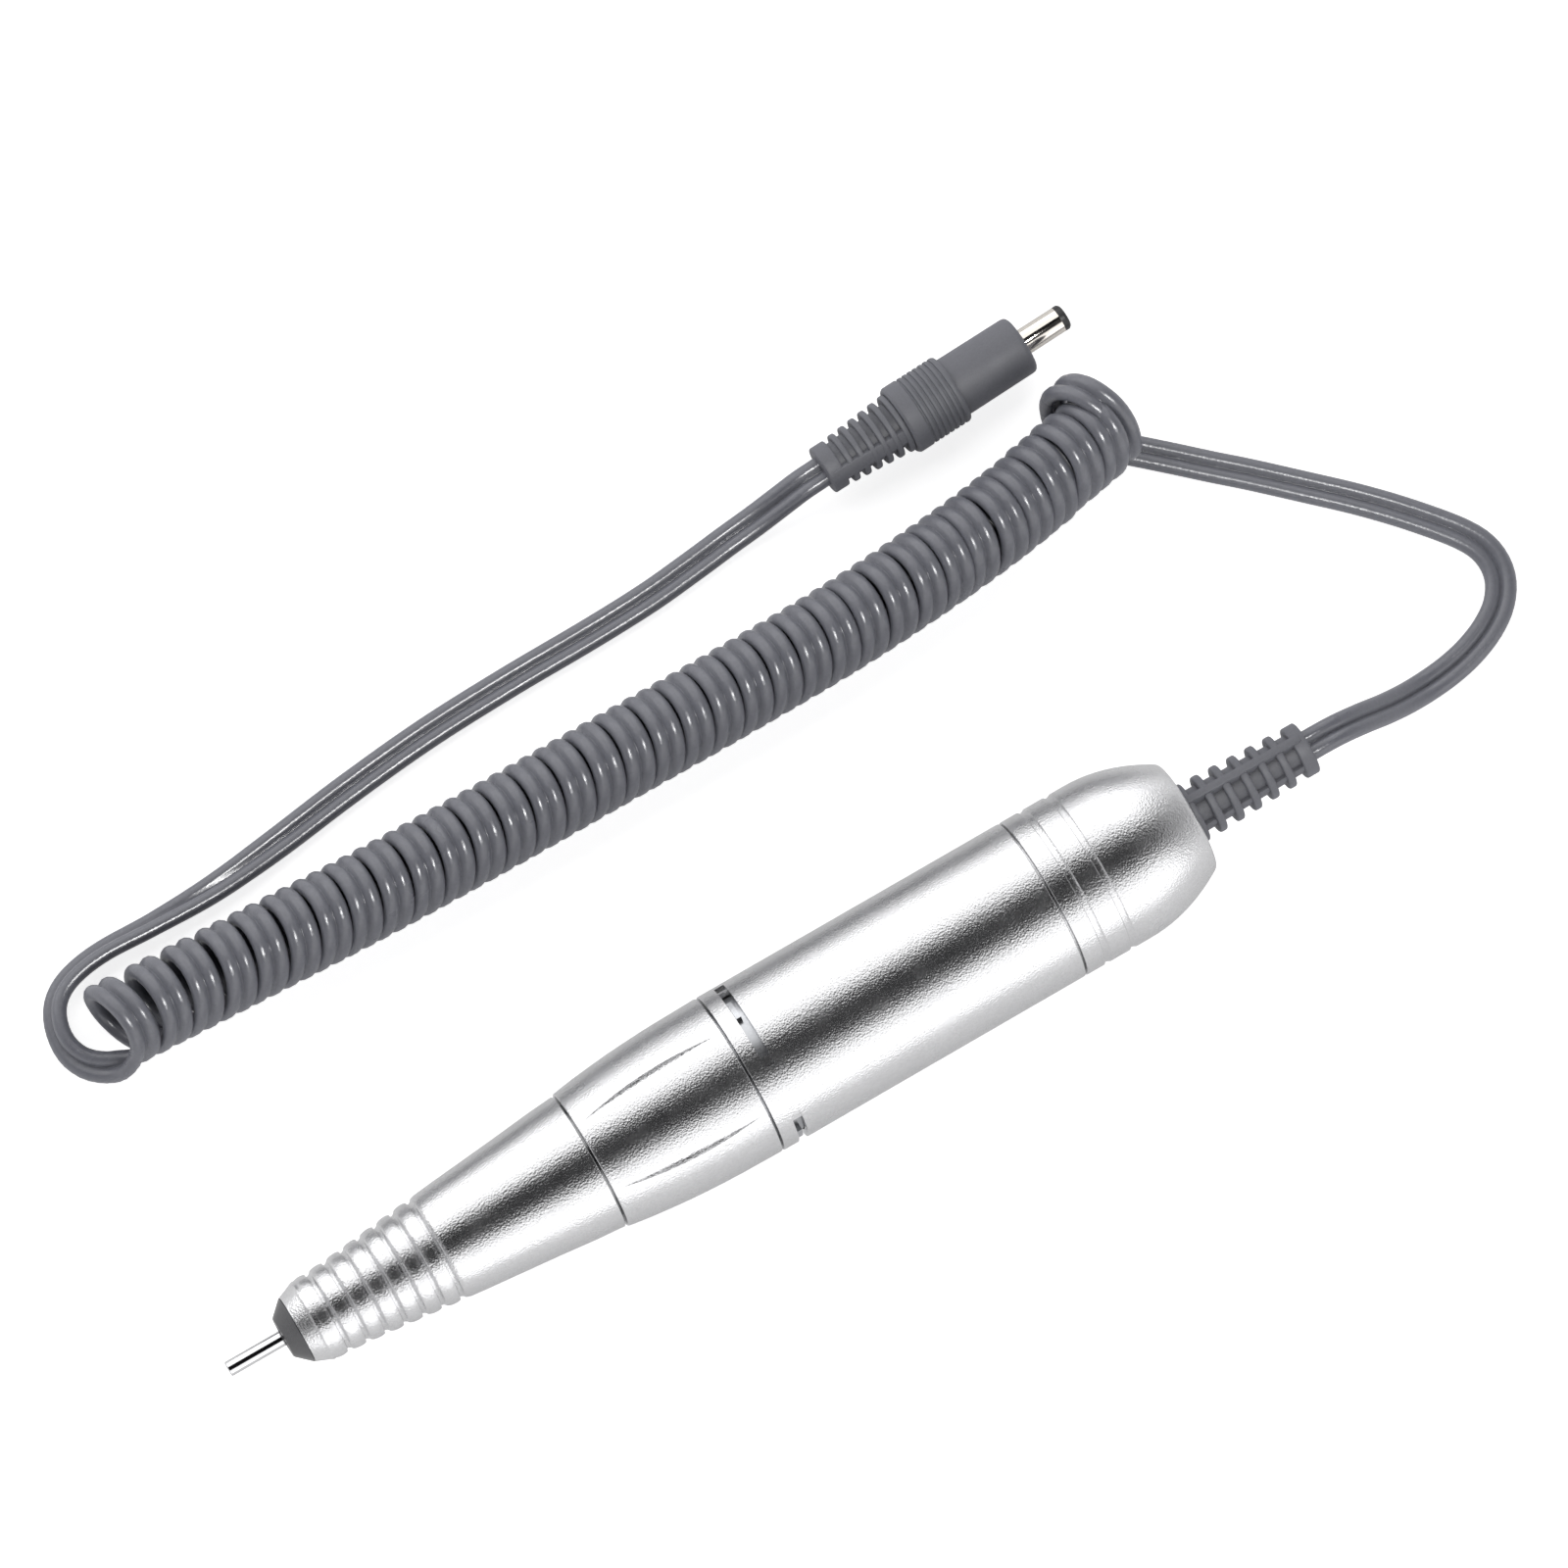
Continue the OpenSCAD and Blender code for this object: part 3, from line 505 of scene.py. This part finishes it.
def group_grain():
    """Fine even grain of a blasted or moulded skin, and a slow mottle."""
    tree, given, result = new_group("surface_grain", [("Size", 0.0002), ("Mottle Size", 0.004)],
        ["Height", "Sparkle", "Mottle"])
    spot = add(tree, "TexCoord", {}).outputs["Object"]
    scale = add(tree, "Math", {1: given.outputs["Size"]}, operation="DIVIDE")
    scale.inputs[0].default_value = 1
    fine = add(tree, "TexNoise", {"Vector": spot, "Scale": scale.outputs[0]}, Detail=2.0, Roughness=0.6)
    pits = add(tree, "TexVoronoi", {"Vector": spot, "Scale": scale.outputs[0]})
    slow_scale = add(tree, "Math", {1: given.outputs["Mottle Size"]}, operation="DIVIDE")
    slow_scale.inputs[0].default_value = 1
    slow = add(tree, "TexNoise", {"Vector": spot, "Scale": slow_scale.outputs[0]}, Detail=3.0)
    both = add(tree, "Math", {0: fine.outputs["Fac"], 1: pits.outputs["Distance"]}, operation="ADD")
    split_colour = add(tree, "SeparateColor", {"Color": pits.outputs["Color"]})
    tree.links.new(both.outputs[0], result.inputs["Height"])
    tree.links.new(split_colour.outputs[0], result.inputs["Sparkle"])
    tree.links.new(slow.outputs["Fac"], result.inputs["Mottle"])
    return tree


def group_rings():
    """Fine rings that a lathe leaves across the tool's long axis."""
    tree, given, result = new_group("turning_rings", [("Spacing", 0.00015)], ["Height"])
    spot = add(tree, "TexCoord", {}).outputs["Object"]
    along_axis = add(tree, "SeparateXYZ", {0: spot})
    step = add(tree, "Math", {0: along_axis.outputs["X"], 1: given.outputs["Spacing"]}, operation="DIVIDE")
    line = add(tree, "TexNoise", {"W": step.outputs[0]}, noise_dimensions="1D", Detail=3.0, Roughness=0.7)
    line.inputs["Scale"].default_value = 1
    tree.links.new(line.outputs["Fac"], result.inputs["Height"])
    return tree


def group_handling():
    """Faint smears and a little dust, as a roughness change from 0 to 1."""
    tree, given, result = new_group("handling", [("Size", 0.012)], ["Smear"])
    spot = add(tree, "TexCoord", {}).outputs["Object"]
    scale = add(tree, "Math", {1: given.outputs["Size"]}, operation="DIVIDE")
    scale.inputs[0].default_value = 1
    broad = add(tree, "TexNoise", {"Vector": spot, "Scale": scale.outputs[0]}, Detail=5.0, Distortion=0.6)
    span = add(tree, "MapRange", {"Value": broad.outputs["Fac"]})
    span.inputs["From Min"].default_value = 0.35
    span.inputs["From Max"].default_value = 0.7
    tree.links.new(span.outputs["Result"], result.inputs["Smear"])
    return tree


grain_group = group_grain()
rings_group = group_rings()
handling_group = group_handling()
print("groups", [g.name for g in bpy.data.node_groups])

# %% [markdown]
# ## Finishes
# The record names the finish of every part, so there is one material for each of its slots.
# Bare metals are fully metallic and differ in colour, in roughness and in the kind of grain. The
# cord's jacket has a soft clear gloss over a dull body. The helper below lays the shared effects under one
# shader: grain or rings bend the normal, and the smears move the roughness a little.

# %% Finish helper
SPARKLE_SHADE = 0.08
MOTTLE_ROUGHNESS = 0.03
finishes = {}


def group_node(tree, group, **values):
    node = tree.nodes.new("ShaderNodeGroup")
    node.node_tree = group
    for label, value in values.items():
        node.inputs[label.replace("_", " ")].default_value = value
    return node


def finish(slot, colour, metallic, rough, spread, bump, grain=0.2 * MM, rings=None):
    """One material. rough is the middle roughness, spread how far smears move it, bump in metres."""
    material = bpy.data.materials.new(slot)
    material.use_nodes = True
    tree = material.node_tree
    shader = tree.nodes["Principled BSDF"]
    shader.inputs["Metallic"].default_value = metallic
    grains = group_node(tree, grain_group, Size=grain)
    smears = group_node(tree, handling_group)
    height = grains.outputs["Height"]
    if rings:
        height = group_node(tree, rings_group, Spacing=rings).outputs["Height"]
    dark = tuple(c * (1 - SPARKLE_SHADE) for c in colour) + (1,)
    tint = add(tree, "Mix", {}, data_type="RGBA")
    tint.inputs[6].default_value = dark
    tint.inputs[7].default_value = colour + (1,)
    tree.links.new(grains.outputs["Sparkle"], tint.inputs[0])
    gloss = add(tree, "MapRange", {"Value": smears.outputs["Smear"]})
    gloss.inputs["To Min"].default_value = rough - spread
    gloss.inputs["To Max"].default_value = rough + spread
    mottle = add(tree, "MapRange", {"Value": grains.outputs["Mottle"]})
    mottle.inputs["To Min"].default_value = -MOTTLE_ROUGHNESS
    mottle.inputs["To Max"].default_value = MOTTLE_ROUGHNESS
    total = add(tree, "Math", {0: gloss.outputs[0], 1: mottle.outputs[0]}, operation="ADD")
    relief = add(tree, "Bump", {"Height": height}, Strength=1.0, Distance=bump)
    tree.links.new(tint.outputs[2], shader.inputs["Base Color"])
    tree.links.new(total.outputs[0], shader.inputs["Roughness"])
    tree.links.new(relief.outputs[0], shader.inputs["Normal"])
    finishes[slot] = material
    return shader

# %% Metals
finish("satin_aluminium", (0.80, 0.80, 0.81), 1, 0.27, 0.02, 0.03 * MM, 0.3 * MM)
finish("dark_nose", (0.17, 0.17, 0.175), 1, 0.3, 0.03, 0.002 * MM, rings=0.12 * MM)
finish("machined_aluminium", (0.40, 0.405, 0.41), 1, 0.26, 0.04, 0.003 * MM, rings=0.2 * MM)
finish("polished_steel", (0.80, 0.80, 0.81), 1, 0.08, 0.03, 0.0006 * MM, rings=0.1 * MM)
finish("ground_steel", (0.58, 0.58, 0.60), 1, 0.24, 0.04, 0.002 * MM, rings=0.1 * MM)
finish("bearing_steel", (0.74, 0.75, 0.77), 1, 0.12, 0.03, 0.0006 * MM, rings=0.08 * MM)
finish("plated_steel", (0.55, 0.56, 0.58), 1, 0.33, 0.06, 0.002 * MM, 0.3 * MM)
finish("laminated_steel", (0.30, 0.31, 0.33), 1, 0.45, 0.06, 0.02 * MM, rings=0.5 * MM)
finish("spring_steel", (0.40, 0.41, 0.43), 1, 0.3, 0.05, 0.002 * MM, 0.1 * MM)
finish("magnet", (0.07, 0.07, 0.075), 0.4, 0.55, 0.06, 0.01 * MM, 0.15 * MM)
finish("bronze", (0.52, 0.38, 0.20), 1, 0.36, 0.06, 0.004 * MM, 0.12 * MM)
finish("brass", (0.66, 0.49, 0.21), 1, 0.28, 0.05, 0.002 * MM, 0.3 * MM)
finish("copper", (0.72, 0.36, 0.22), 1, 0.26, 0.06, 0.003 * MM, rings=0.12 * MM)
finish("copper_wire", (0.56, 0.22, 0.09), 0.7, 0.3, 0.05, 0.05 * MM, 0.35 * MM)
finish("nickel", (0.80, 0.76, 0.70), 1, 0.11, 0.03, 0.0008 * MM, rings=0.1 * MM)
print("metals", len(finishes))

# %% Plastics, rubber and carbon
finish("carbon", (0.025, 0.025, 0.027), 0, 0.6, 0.05, 0.01 * MM, 0.1 * MM)
finish("black_plastic", (0.018, 0.018, 0.02), 0, 0.38, 0.05, 0.003 * MM, 0.15 * MM)
finish("coupling_plastic", (0.05, 0.13, 0.34), 0, 0.42, 0.05, 0.003 * MM, 0.2 * MM)
finish("black_rubber", (0.02, 0.02, 0.021), 0, 0.6, 0.06, 0.005 * MM, 0.12 * MM)
finish("lead_insulation", (0.45, 0.03, 0.02), 0, 0.4, 0.05, 0.002 * MM, 0.2 * MM)
finish("boot_plastic", (0.165, 0.168, 0.19), 0, 0.58, 0.05, 0.008 * MM, 0.22 * MM)
jacket = finish("cord_jacket", (0.18, 0.184, 0.212), 0, 0.32, 0.05, 0.02 * MM, 0.5 * MM)
jacket.inputs["Coat Weight"].default_value = 0.35
jacket.inputs["Coat Roughness"].default_value = 0.25
print("finishes", len(finishes))

# %% Every part of the frame gets its finish
slot_of = {part["node"]: part["material_slot"] for part in record["subparts"]}
for name, node in frame["nodes"].items():
    for slot in node.material_slots:
        slot.material = finishes[slot_of[name]]
print("parts finished", len(slot_of))

# %% [markdown]
# ## Where the handpiece and the plug lie
# The handpiece lies along X. Its foot is the middle of the nose face, found from the frame's
# boxes, and every outline below gives (distance from the nose face, radius). The plug has its own
# foot and axis: it starts where the cord route ends and points 3 degrees off X.

# %% Axes
nose_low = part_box("nose_bezel")[0]
shell_low, shell_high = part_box("motor_housing")
FOOT = Vector((nose_low.x, 0, (shell_low.z + shell_high.z) / 2))
AXIS = Vector((1, 0, 0))
BODY_R = (shell_high.z - shell_low.z) / 2 / MM
PLUG_FOOT = Vector(PLUG_ROUTE[-1]) * MM
PLUG_AXIS = Vector((math.cos(math.radians(3)), math.sin(math.radians(3)), 0))
FACING = math.radians(10)
print("handpiece foot", [round(v, 4) for v in FOOT], "radius", round(BODY_R, 2), "mm")

# %% [markdown]
# ## Spring in the chuck
# Twisting the sleeve pushes the collet forward by 1.2 mm, and the spring behind it is pressed
# together. Its front end rests on a step inside the spindle, so it shortens towards that step when
# pressed. Here the spring only gets a mesh of its own and is not shortened.

# %% Chuck spring
spring = frame["nodes"]["chuck_spring"]
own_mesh(spring)

# %% [markdown]
# ## Nose
# A dark steel ring closes the front, with a cone that leads back to the grip. Behind it seven
# grooves make the grip: each ridge between them is a soft bulge, and each groove has a round
# bottom. One outline holds all of it, and a loop writes the ridges, so that they stay alike.

# %% Nose ring and ringed nose
nose_ring = turned("nose_ring", [(1.6, 1.9), (0, 1.9, 0.12), (0, 3.1, 0.2), (2.28, 5.25, 0.06),
    (2.28, 4.4), (4.6, 4.4), (4.6, 3.3), (1.6, 3.3)], FOOT, AXIS)
done(nose_ring, "handpiece", "dark_nose", "nose_bezel")

NOSE = [(6, 6.45), (9, 6.6), (12, 6.85), (17.6, 7.45), (23.3, 8.05), (28.9, 8.6), (34.6, 9.15),
    (40.3, 9.7), (45.9, 10.3), (50.5, 10.65)]
GROOVE = [(-0.42, 0.2), (-0.4, 0.5), (-0.3, 0.62), (-0.1, 0.6), (0.12, 0.52), (0.28, 0.4),
    (0.35, 0.3), (0.42, 0.2)]
GROOVES = [7.5 + 2.93 * k for k in range(7)]


def between(table, h):
    """The value of a table of (place, value) at h."""
    for (a, low), (b, high) in zip(table, table[1:]):
        if h <= b:
            return low + (high - low) * (h - a) / (b - a)
    return table[-1][1]


def ridge(start, end, drop):
    """Points of one bulging ridge."""
    return [(start + (end - start) * u, between(NOSE, start + (end - start) * u)
        - drop * abs(2 * u - 1) ** 2.4) for u in (0.06, 0.15, 0.3, 0.5, 0.7, 0.85, 0.94)]


nose_line = [(2.36, 4.4), (2.36, 5.25, 0.06), (4.5, 6.12, 0.2), (4.85, 6.36, 0.2)]
for k, at in enumerate(GROOVES):
    nose_line += ridge(5.1 if k == 0 else GROOVES[k - 1] + 0.42, at - 0.42, 0.2)
    nose_line += [(at + dh, between(NOSE, at + dh) - depth) for dh, depth in GROOVE]
nose_line += [(26.2, between(NOSE, 26.2) - 0.03), (28.9, 8.6), (34.6, 9.15), (40.3, 9.7), (45.9, 10.3),
    (50.35, 10.66, 0.22), (50.35, 7.5), (38, 7.5), (38, 5.3), (18.7, 5.3), (18.7, 5), (7.2, 5), (7.2, 3.6),
    (4.6, 3.6), (4.6, 4.4)]
ringed_nose = turned("ringed_nose", nose_line, FOOT, AXIS)
done(ringed_nose, "handpiece", "satin_aluminium", "nose_cone", smooth=38)

# %% [markdown]
# ## Twist grip
# The sleeve behind the nose swells towards the motor housing, and three leaf-shaped finger
# recesses are milled into it. Each is as deep as a fingernail in the middle and runs out to
# nothing at its ends, because its floor is a plain turned surface. The milling tool is built the
# same way: two leaning cones cross in a leaf, and a turned ring gives the floor.

# %% Twist grip
SLEEVE = [(50.65, 10.85, 0.2), (51.6, 11.02), (54.4, 11.42), (57.3, 11.76), (60.1, 12.04), (63, 12.26),
    (65.8, 12.41), (68.6, 12.5), (75.15, 12.58, 0.2), (75.15, 10.15), (67.9, 10.15), (67.9, 9.05),
    (50.65, 9.05)]
twist_grip = turned("twist_grip", SLEEVE, FOOT, AXIS, steps=180)


def recess_floor(h):
    return 11.12 + 0.0667 * (h - 53) - 0.0016 * (h - 53) * (73 - h)


def leaf_cone(side):
    """A wide cone whose rim is one edge of the leaf; its walls lean outwards by 46 degrees."""
    lean = math.tan(math.radians(46))
    centre = FOOT + (AXIS * 63 + Vector((0, side * 47, 0)) + UP * 7) * MM
    bpy.ops.object.select_all(action="DESELECT")
    bpy.ops.mesh.primitive_cone_add(vertices=256, radius1=(54 - 10 * lean) * MM, radius2=(54 + 4 * lean) * MM,
        depth=14 * MM, location=centre)
    return bpy.context.object


leaf = turned("leaf", [(50, recess_floor(50)), (51.5, recess_floor(51.5))]
    + [(h, recess_floor(h)) for h in range(53, 74)] + [(75, recess_floor(75)), (75, 15), (50, 15)],
    FOOT, AXIS, steps=180)
for side in (-1, 1):
    cut(leaf, leaf_cone(side), "INTERSECT")
for k in range(3):
    cut(twist_grip, twin_of(leaf, FACING + 2 * math.pi * k / 3, FOOT, AXIS))
bpy.data.objects.remove(leaf)
done(twist_grip, "sleeve", "satin_aluminium", "twist_sleeve", smooth=24)

# %% [markdown]
# ## Motor housing
# The housing is a plain tube. Three windows are milled near its front, and through them the lugs
# of the cam ring show whether the chuck is open. Each window has a shallow pocket at both ends.
# The two milling tools are short spins of a rectangle, one deep and narrow, one shallow and wide.

# %% Motor shell
motor_shell = turned("motor_shell", [(75.45, 10.9), (75.45, BODY_R, 0.22), (125.55, BODY_R, 0.18),
    (125.55, 11.4), (77, 11.4), (77, 10.9)], FOOT, AXIS, steps=180)
WINDOW = (77.9, 79.45)
WINDOW_START = FACING - math.radians(77)


def window_tool(name, start, end, inner, extra):
    low, high = WINDOW
    outline = [(low, inner), (low, 14.6), (high, 14.6), (high, inner)]
    return turned(name, outline, FOOT, AXIS, steps=40, angle=math.radians(end - start),
        start=WINDOW_START + math.radians(start) + extra)


for k in range(3):
    third = 2 * math.pi * k / 3
    cut(motor_shell, window_tool("pocket_tool", 0, 82, BODY_R - 0.45, third))
    cut(motor_shell, window_tool("window_tool", 8, 74, 10.3, third))
done(motor_shell, "handpiece", "satin_aluminium", "motor_housing", smooth=24)

# %% [markdown]
# ## Rear cap
# The cap plugs into the housing. Two fine grooves ring its front: each drops steeply and then
# rises slowly, so one dark line and one bright line show. Behind them the cap domes in to a
# rounded end with a hole for the boot. The dome is one formula.

# %% End cap
CAP_GROOVE = [(-0.25, 0, 0.04), (-0.14, -0.3, 0.03), (0.06, -0.32), (0.5, -0.2), (0.78, -0.08),
    (0.84, 0, 0.05)]


def dome(h):
    return BODY_R - 4.1 * ((h - 136.7) / 13.3) ** 2


cap_line = [(121.5, 10.4), (121.5, 11.35, 0.15), (125.85, 11.35), (125.85, BODY_R, 0.22)]
for at in (129, 133.3):
    cap_line += [(at + p[0], BODY_R + p[1], *p[2:]) for p in CAP_GROOVE]
cap_line += [(136.7 + 12.3 * k / 10, dome(136.7 + 12.3 * k / 10)) for k in range(11)]
cap_line += [(150, 8.5, 0.9), (150, 3.7, 0.1), (147.2, 3.7), (147.2, 7), (143, 9.4), (136, 10.4)]
end_cap = turned("end_cap", cap_line, FOOT, AXIS, steps=180)
done(end_cap, "handpiece", "satin_aluminium", "rear_cap")

# %% [markdown]
# ## Bit
# The bit is a ground and polished rod with a fine groove that sits just inside the nose.

# %% Bit rod
bit_rod = turned("bit_rod", [(-9, 0), (-9, 1.175, 0.2), (0, 1.175, 0.05), (0.08, 0.925), (0.72, 0.925),
    (0.8, 1.175, 0.05), (27, 1.175, 0.2), (27, 0)], FOOT, AXIS, steps=64)
done(bit_rod, "bit", "polished_steel", "bit")

# %% [markdown]
# ## Boot
# The boot is a moulded strain relief: seven round ribs on a tapering core, the last one wider,
# and thin rails and lower webs that tie the ribs together. The ribs are one turned outline from
# a loop, and the rails and webs are bars with a falling top, bevelled and joined on.

# %% Boot
def relief_line(length, outer, core, ribs, width, last_width, ease):
    """Outline of a ribbed relief from 0 to length: outer and core radii at its root and its end."""
    step = (length - last_width) / (ribs - 1)
    line = []
    for k in range(ribs):
        low = step * k
        high = low + (last_width if k == ribs - 1 else width)
        r = outer[0] + (outer[1] - outer[0]) * k / (ribs - 1)
        low_core, high_core = (core[0] + (core[1] - core[0]) * h / length for h in (low, high))
        line += [(low, low_core), (low, r, ease), (high, r, ease), (high, high_core)]
    return line[:-1] + [(length, 0)]


boot_line = [(145.4, 0), (145.4, 5, 0.2), (147.2, 5, 0.1), (147.2, 3.7), (150, 3.7)]
boot_line += [(150 + p[0], *p[1:]) for p in relief_line(20, (4.65, 4.05), (3.4, 3), 7, 1.25, 2.2, 0.4)]
boot = turned("boot", boot_line, FOOT, AXIS, steps=96)
rails = [block("rail", FOOT, AXIS, (150.1, 169.3), 1.3, (2.4, 4.85), 0.6, FACING + math.radians(t))
    for t in (-26, 154)]
webs = [block("web", FOOT, AXIS, (150.1, 169.3), 0.9, (2.4, 4.1), 0.5, FACING + math.radians(t))
    for t in (44, 224)]
joined([boot] + rails + webs)
done(boot, "handpiece", "boot_plastic", "cord_boot")

# %% [markdown]
# ## Plug
# The plug has its own ribbed relief, a grip with fine ridges, a smooth shell, a nickel tube and
# a black tip that keeps the tube apart from the contact inside.

# %% Plug relief and grip
GRIP_AT = 13.4
relief = relief_line(GRIP_AT, (4.7, 3.75), (3.6, 2.9), 7, 0.95, 2.4, 0.3)
plug_line = [(GRIP_AT - p[0], *p[1:]) for p in relief][::-1]
plug_line += [(GRIP_AT, 5.1, 0.1), (13.8, 5.45, 0.15), (16.0, 5.45, 0.08)]
RIDGE = (22.3 - 16.1) / 7
for k in range(7):
    low = 16.1 + RIDGE * k
    plug_line += [(low + 0.02, 5.18), (low + 0.24, 5.18), (low + 0.34, 5.42, 0.06),
        (low + RIDGE - 0.06, 5.42, 0.1)]
plug_line += [(22.6, 5.2, 0.1), (22.6, 3.6), (14.2, 3.6), (14.2, 0)]
plug_handle = turned("plug_handle", plug_line, PLUG_FOOT, PLUG_AXIS, steps=96)
relief_foot = PLUG_FOOT + PLUG_AXIS * GRIP_AT * MM
plug_rails = [block("rail", relief_foot, -PLUG_AXIS, (0.1, 12.9), 2.2, (2.4, 4.5), 0.8,
    -FACING - math.radians(t)) for t in (34, 214)]
joined([plug_handle] + plug_rails)
done(plug_handle, "handpiece", "boot_plastic", "plug_grip")

# %% Plug shell, tube and tip
plug_shell = turned("plug_shell", [(18, 3), (18, 3.6), (22.6, 3.6), (22.6, 4.65, 0.08), (34.8, 4.58, 0.9),
    (34.8, 1.8), (33, 1.8), (33, 3)], PLUG_FOOT, PLUG_AXIS, steps=128)
done(plug_shell, "handpiece", "boot_plastic", "plug_body")
plug_tube = turned("plug_tube", [(28, 1.6), (28, 3), (29, 3), (29, 1.8), (34.8, 1.8), (34.8, 2, 0.05),
    (41.3, 2, 0.06), (41.3, 1.6)], PLUG_FOOT, PLUG_AXIS, steps=96)
done(plug_tube, "handpiece", "nickel", "plug_barrel")
plug_tip = turned("plug_tip", [(27, 1.15), (27, 1.6), (41.3, 1.6), (41.3, 2), (42.05, 2, 0.12),
    (42.4, 1.62, 0.1), (42.4, 1.1, 0.08), (41.7, 1), (41.3, 1.15)], PLUG_FOOT, PLUG_AXIS, steps=96)
done(plug_tip, "handpiece", "black_plastic", "plug_insulator")

# %% [markdown]
# ## The cord takes the place of the frame's cord parts
# The cord leaves the boot at the end of the handpiece and ends in the plug. Its length is the
# length of the route that was swept.

# %% Cord riding on the handpiece, in place of the frame's cord parts
done(cord, "handpiece", "cord_jacket", "handpiece_cord", "cord_coil", "plug_cord", smooth=42)

# %% [markdown]
# ## A small lamp for the cord and its ends
# Every turn of the cord needs one small bright reflection. The handpiece would show that lamp as
# a line, so it is linked to the cord, the boot and the plug alone.

# %% Lamp links
plastics = bpy.data.collections.new("plastics")
for piece in (cord, boot, plug_handle, plug_shell, plug_tube, plug_tip):
    plastics.objects.link(piece)
lens_lamp.light_linking.receiver_collection = plastics
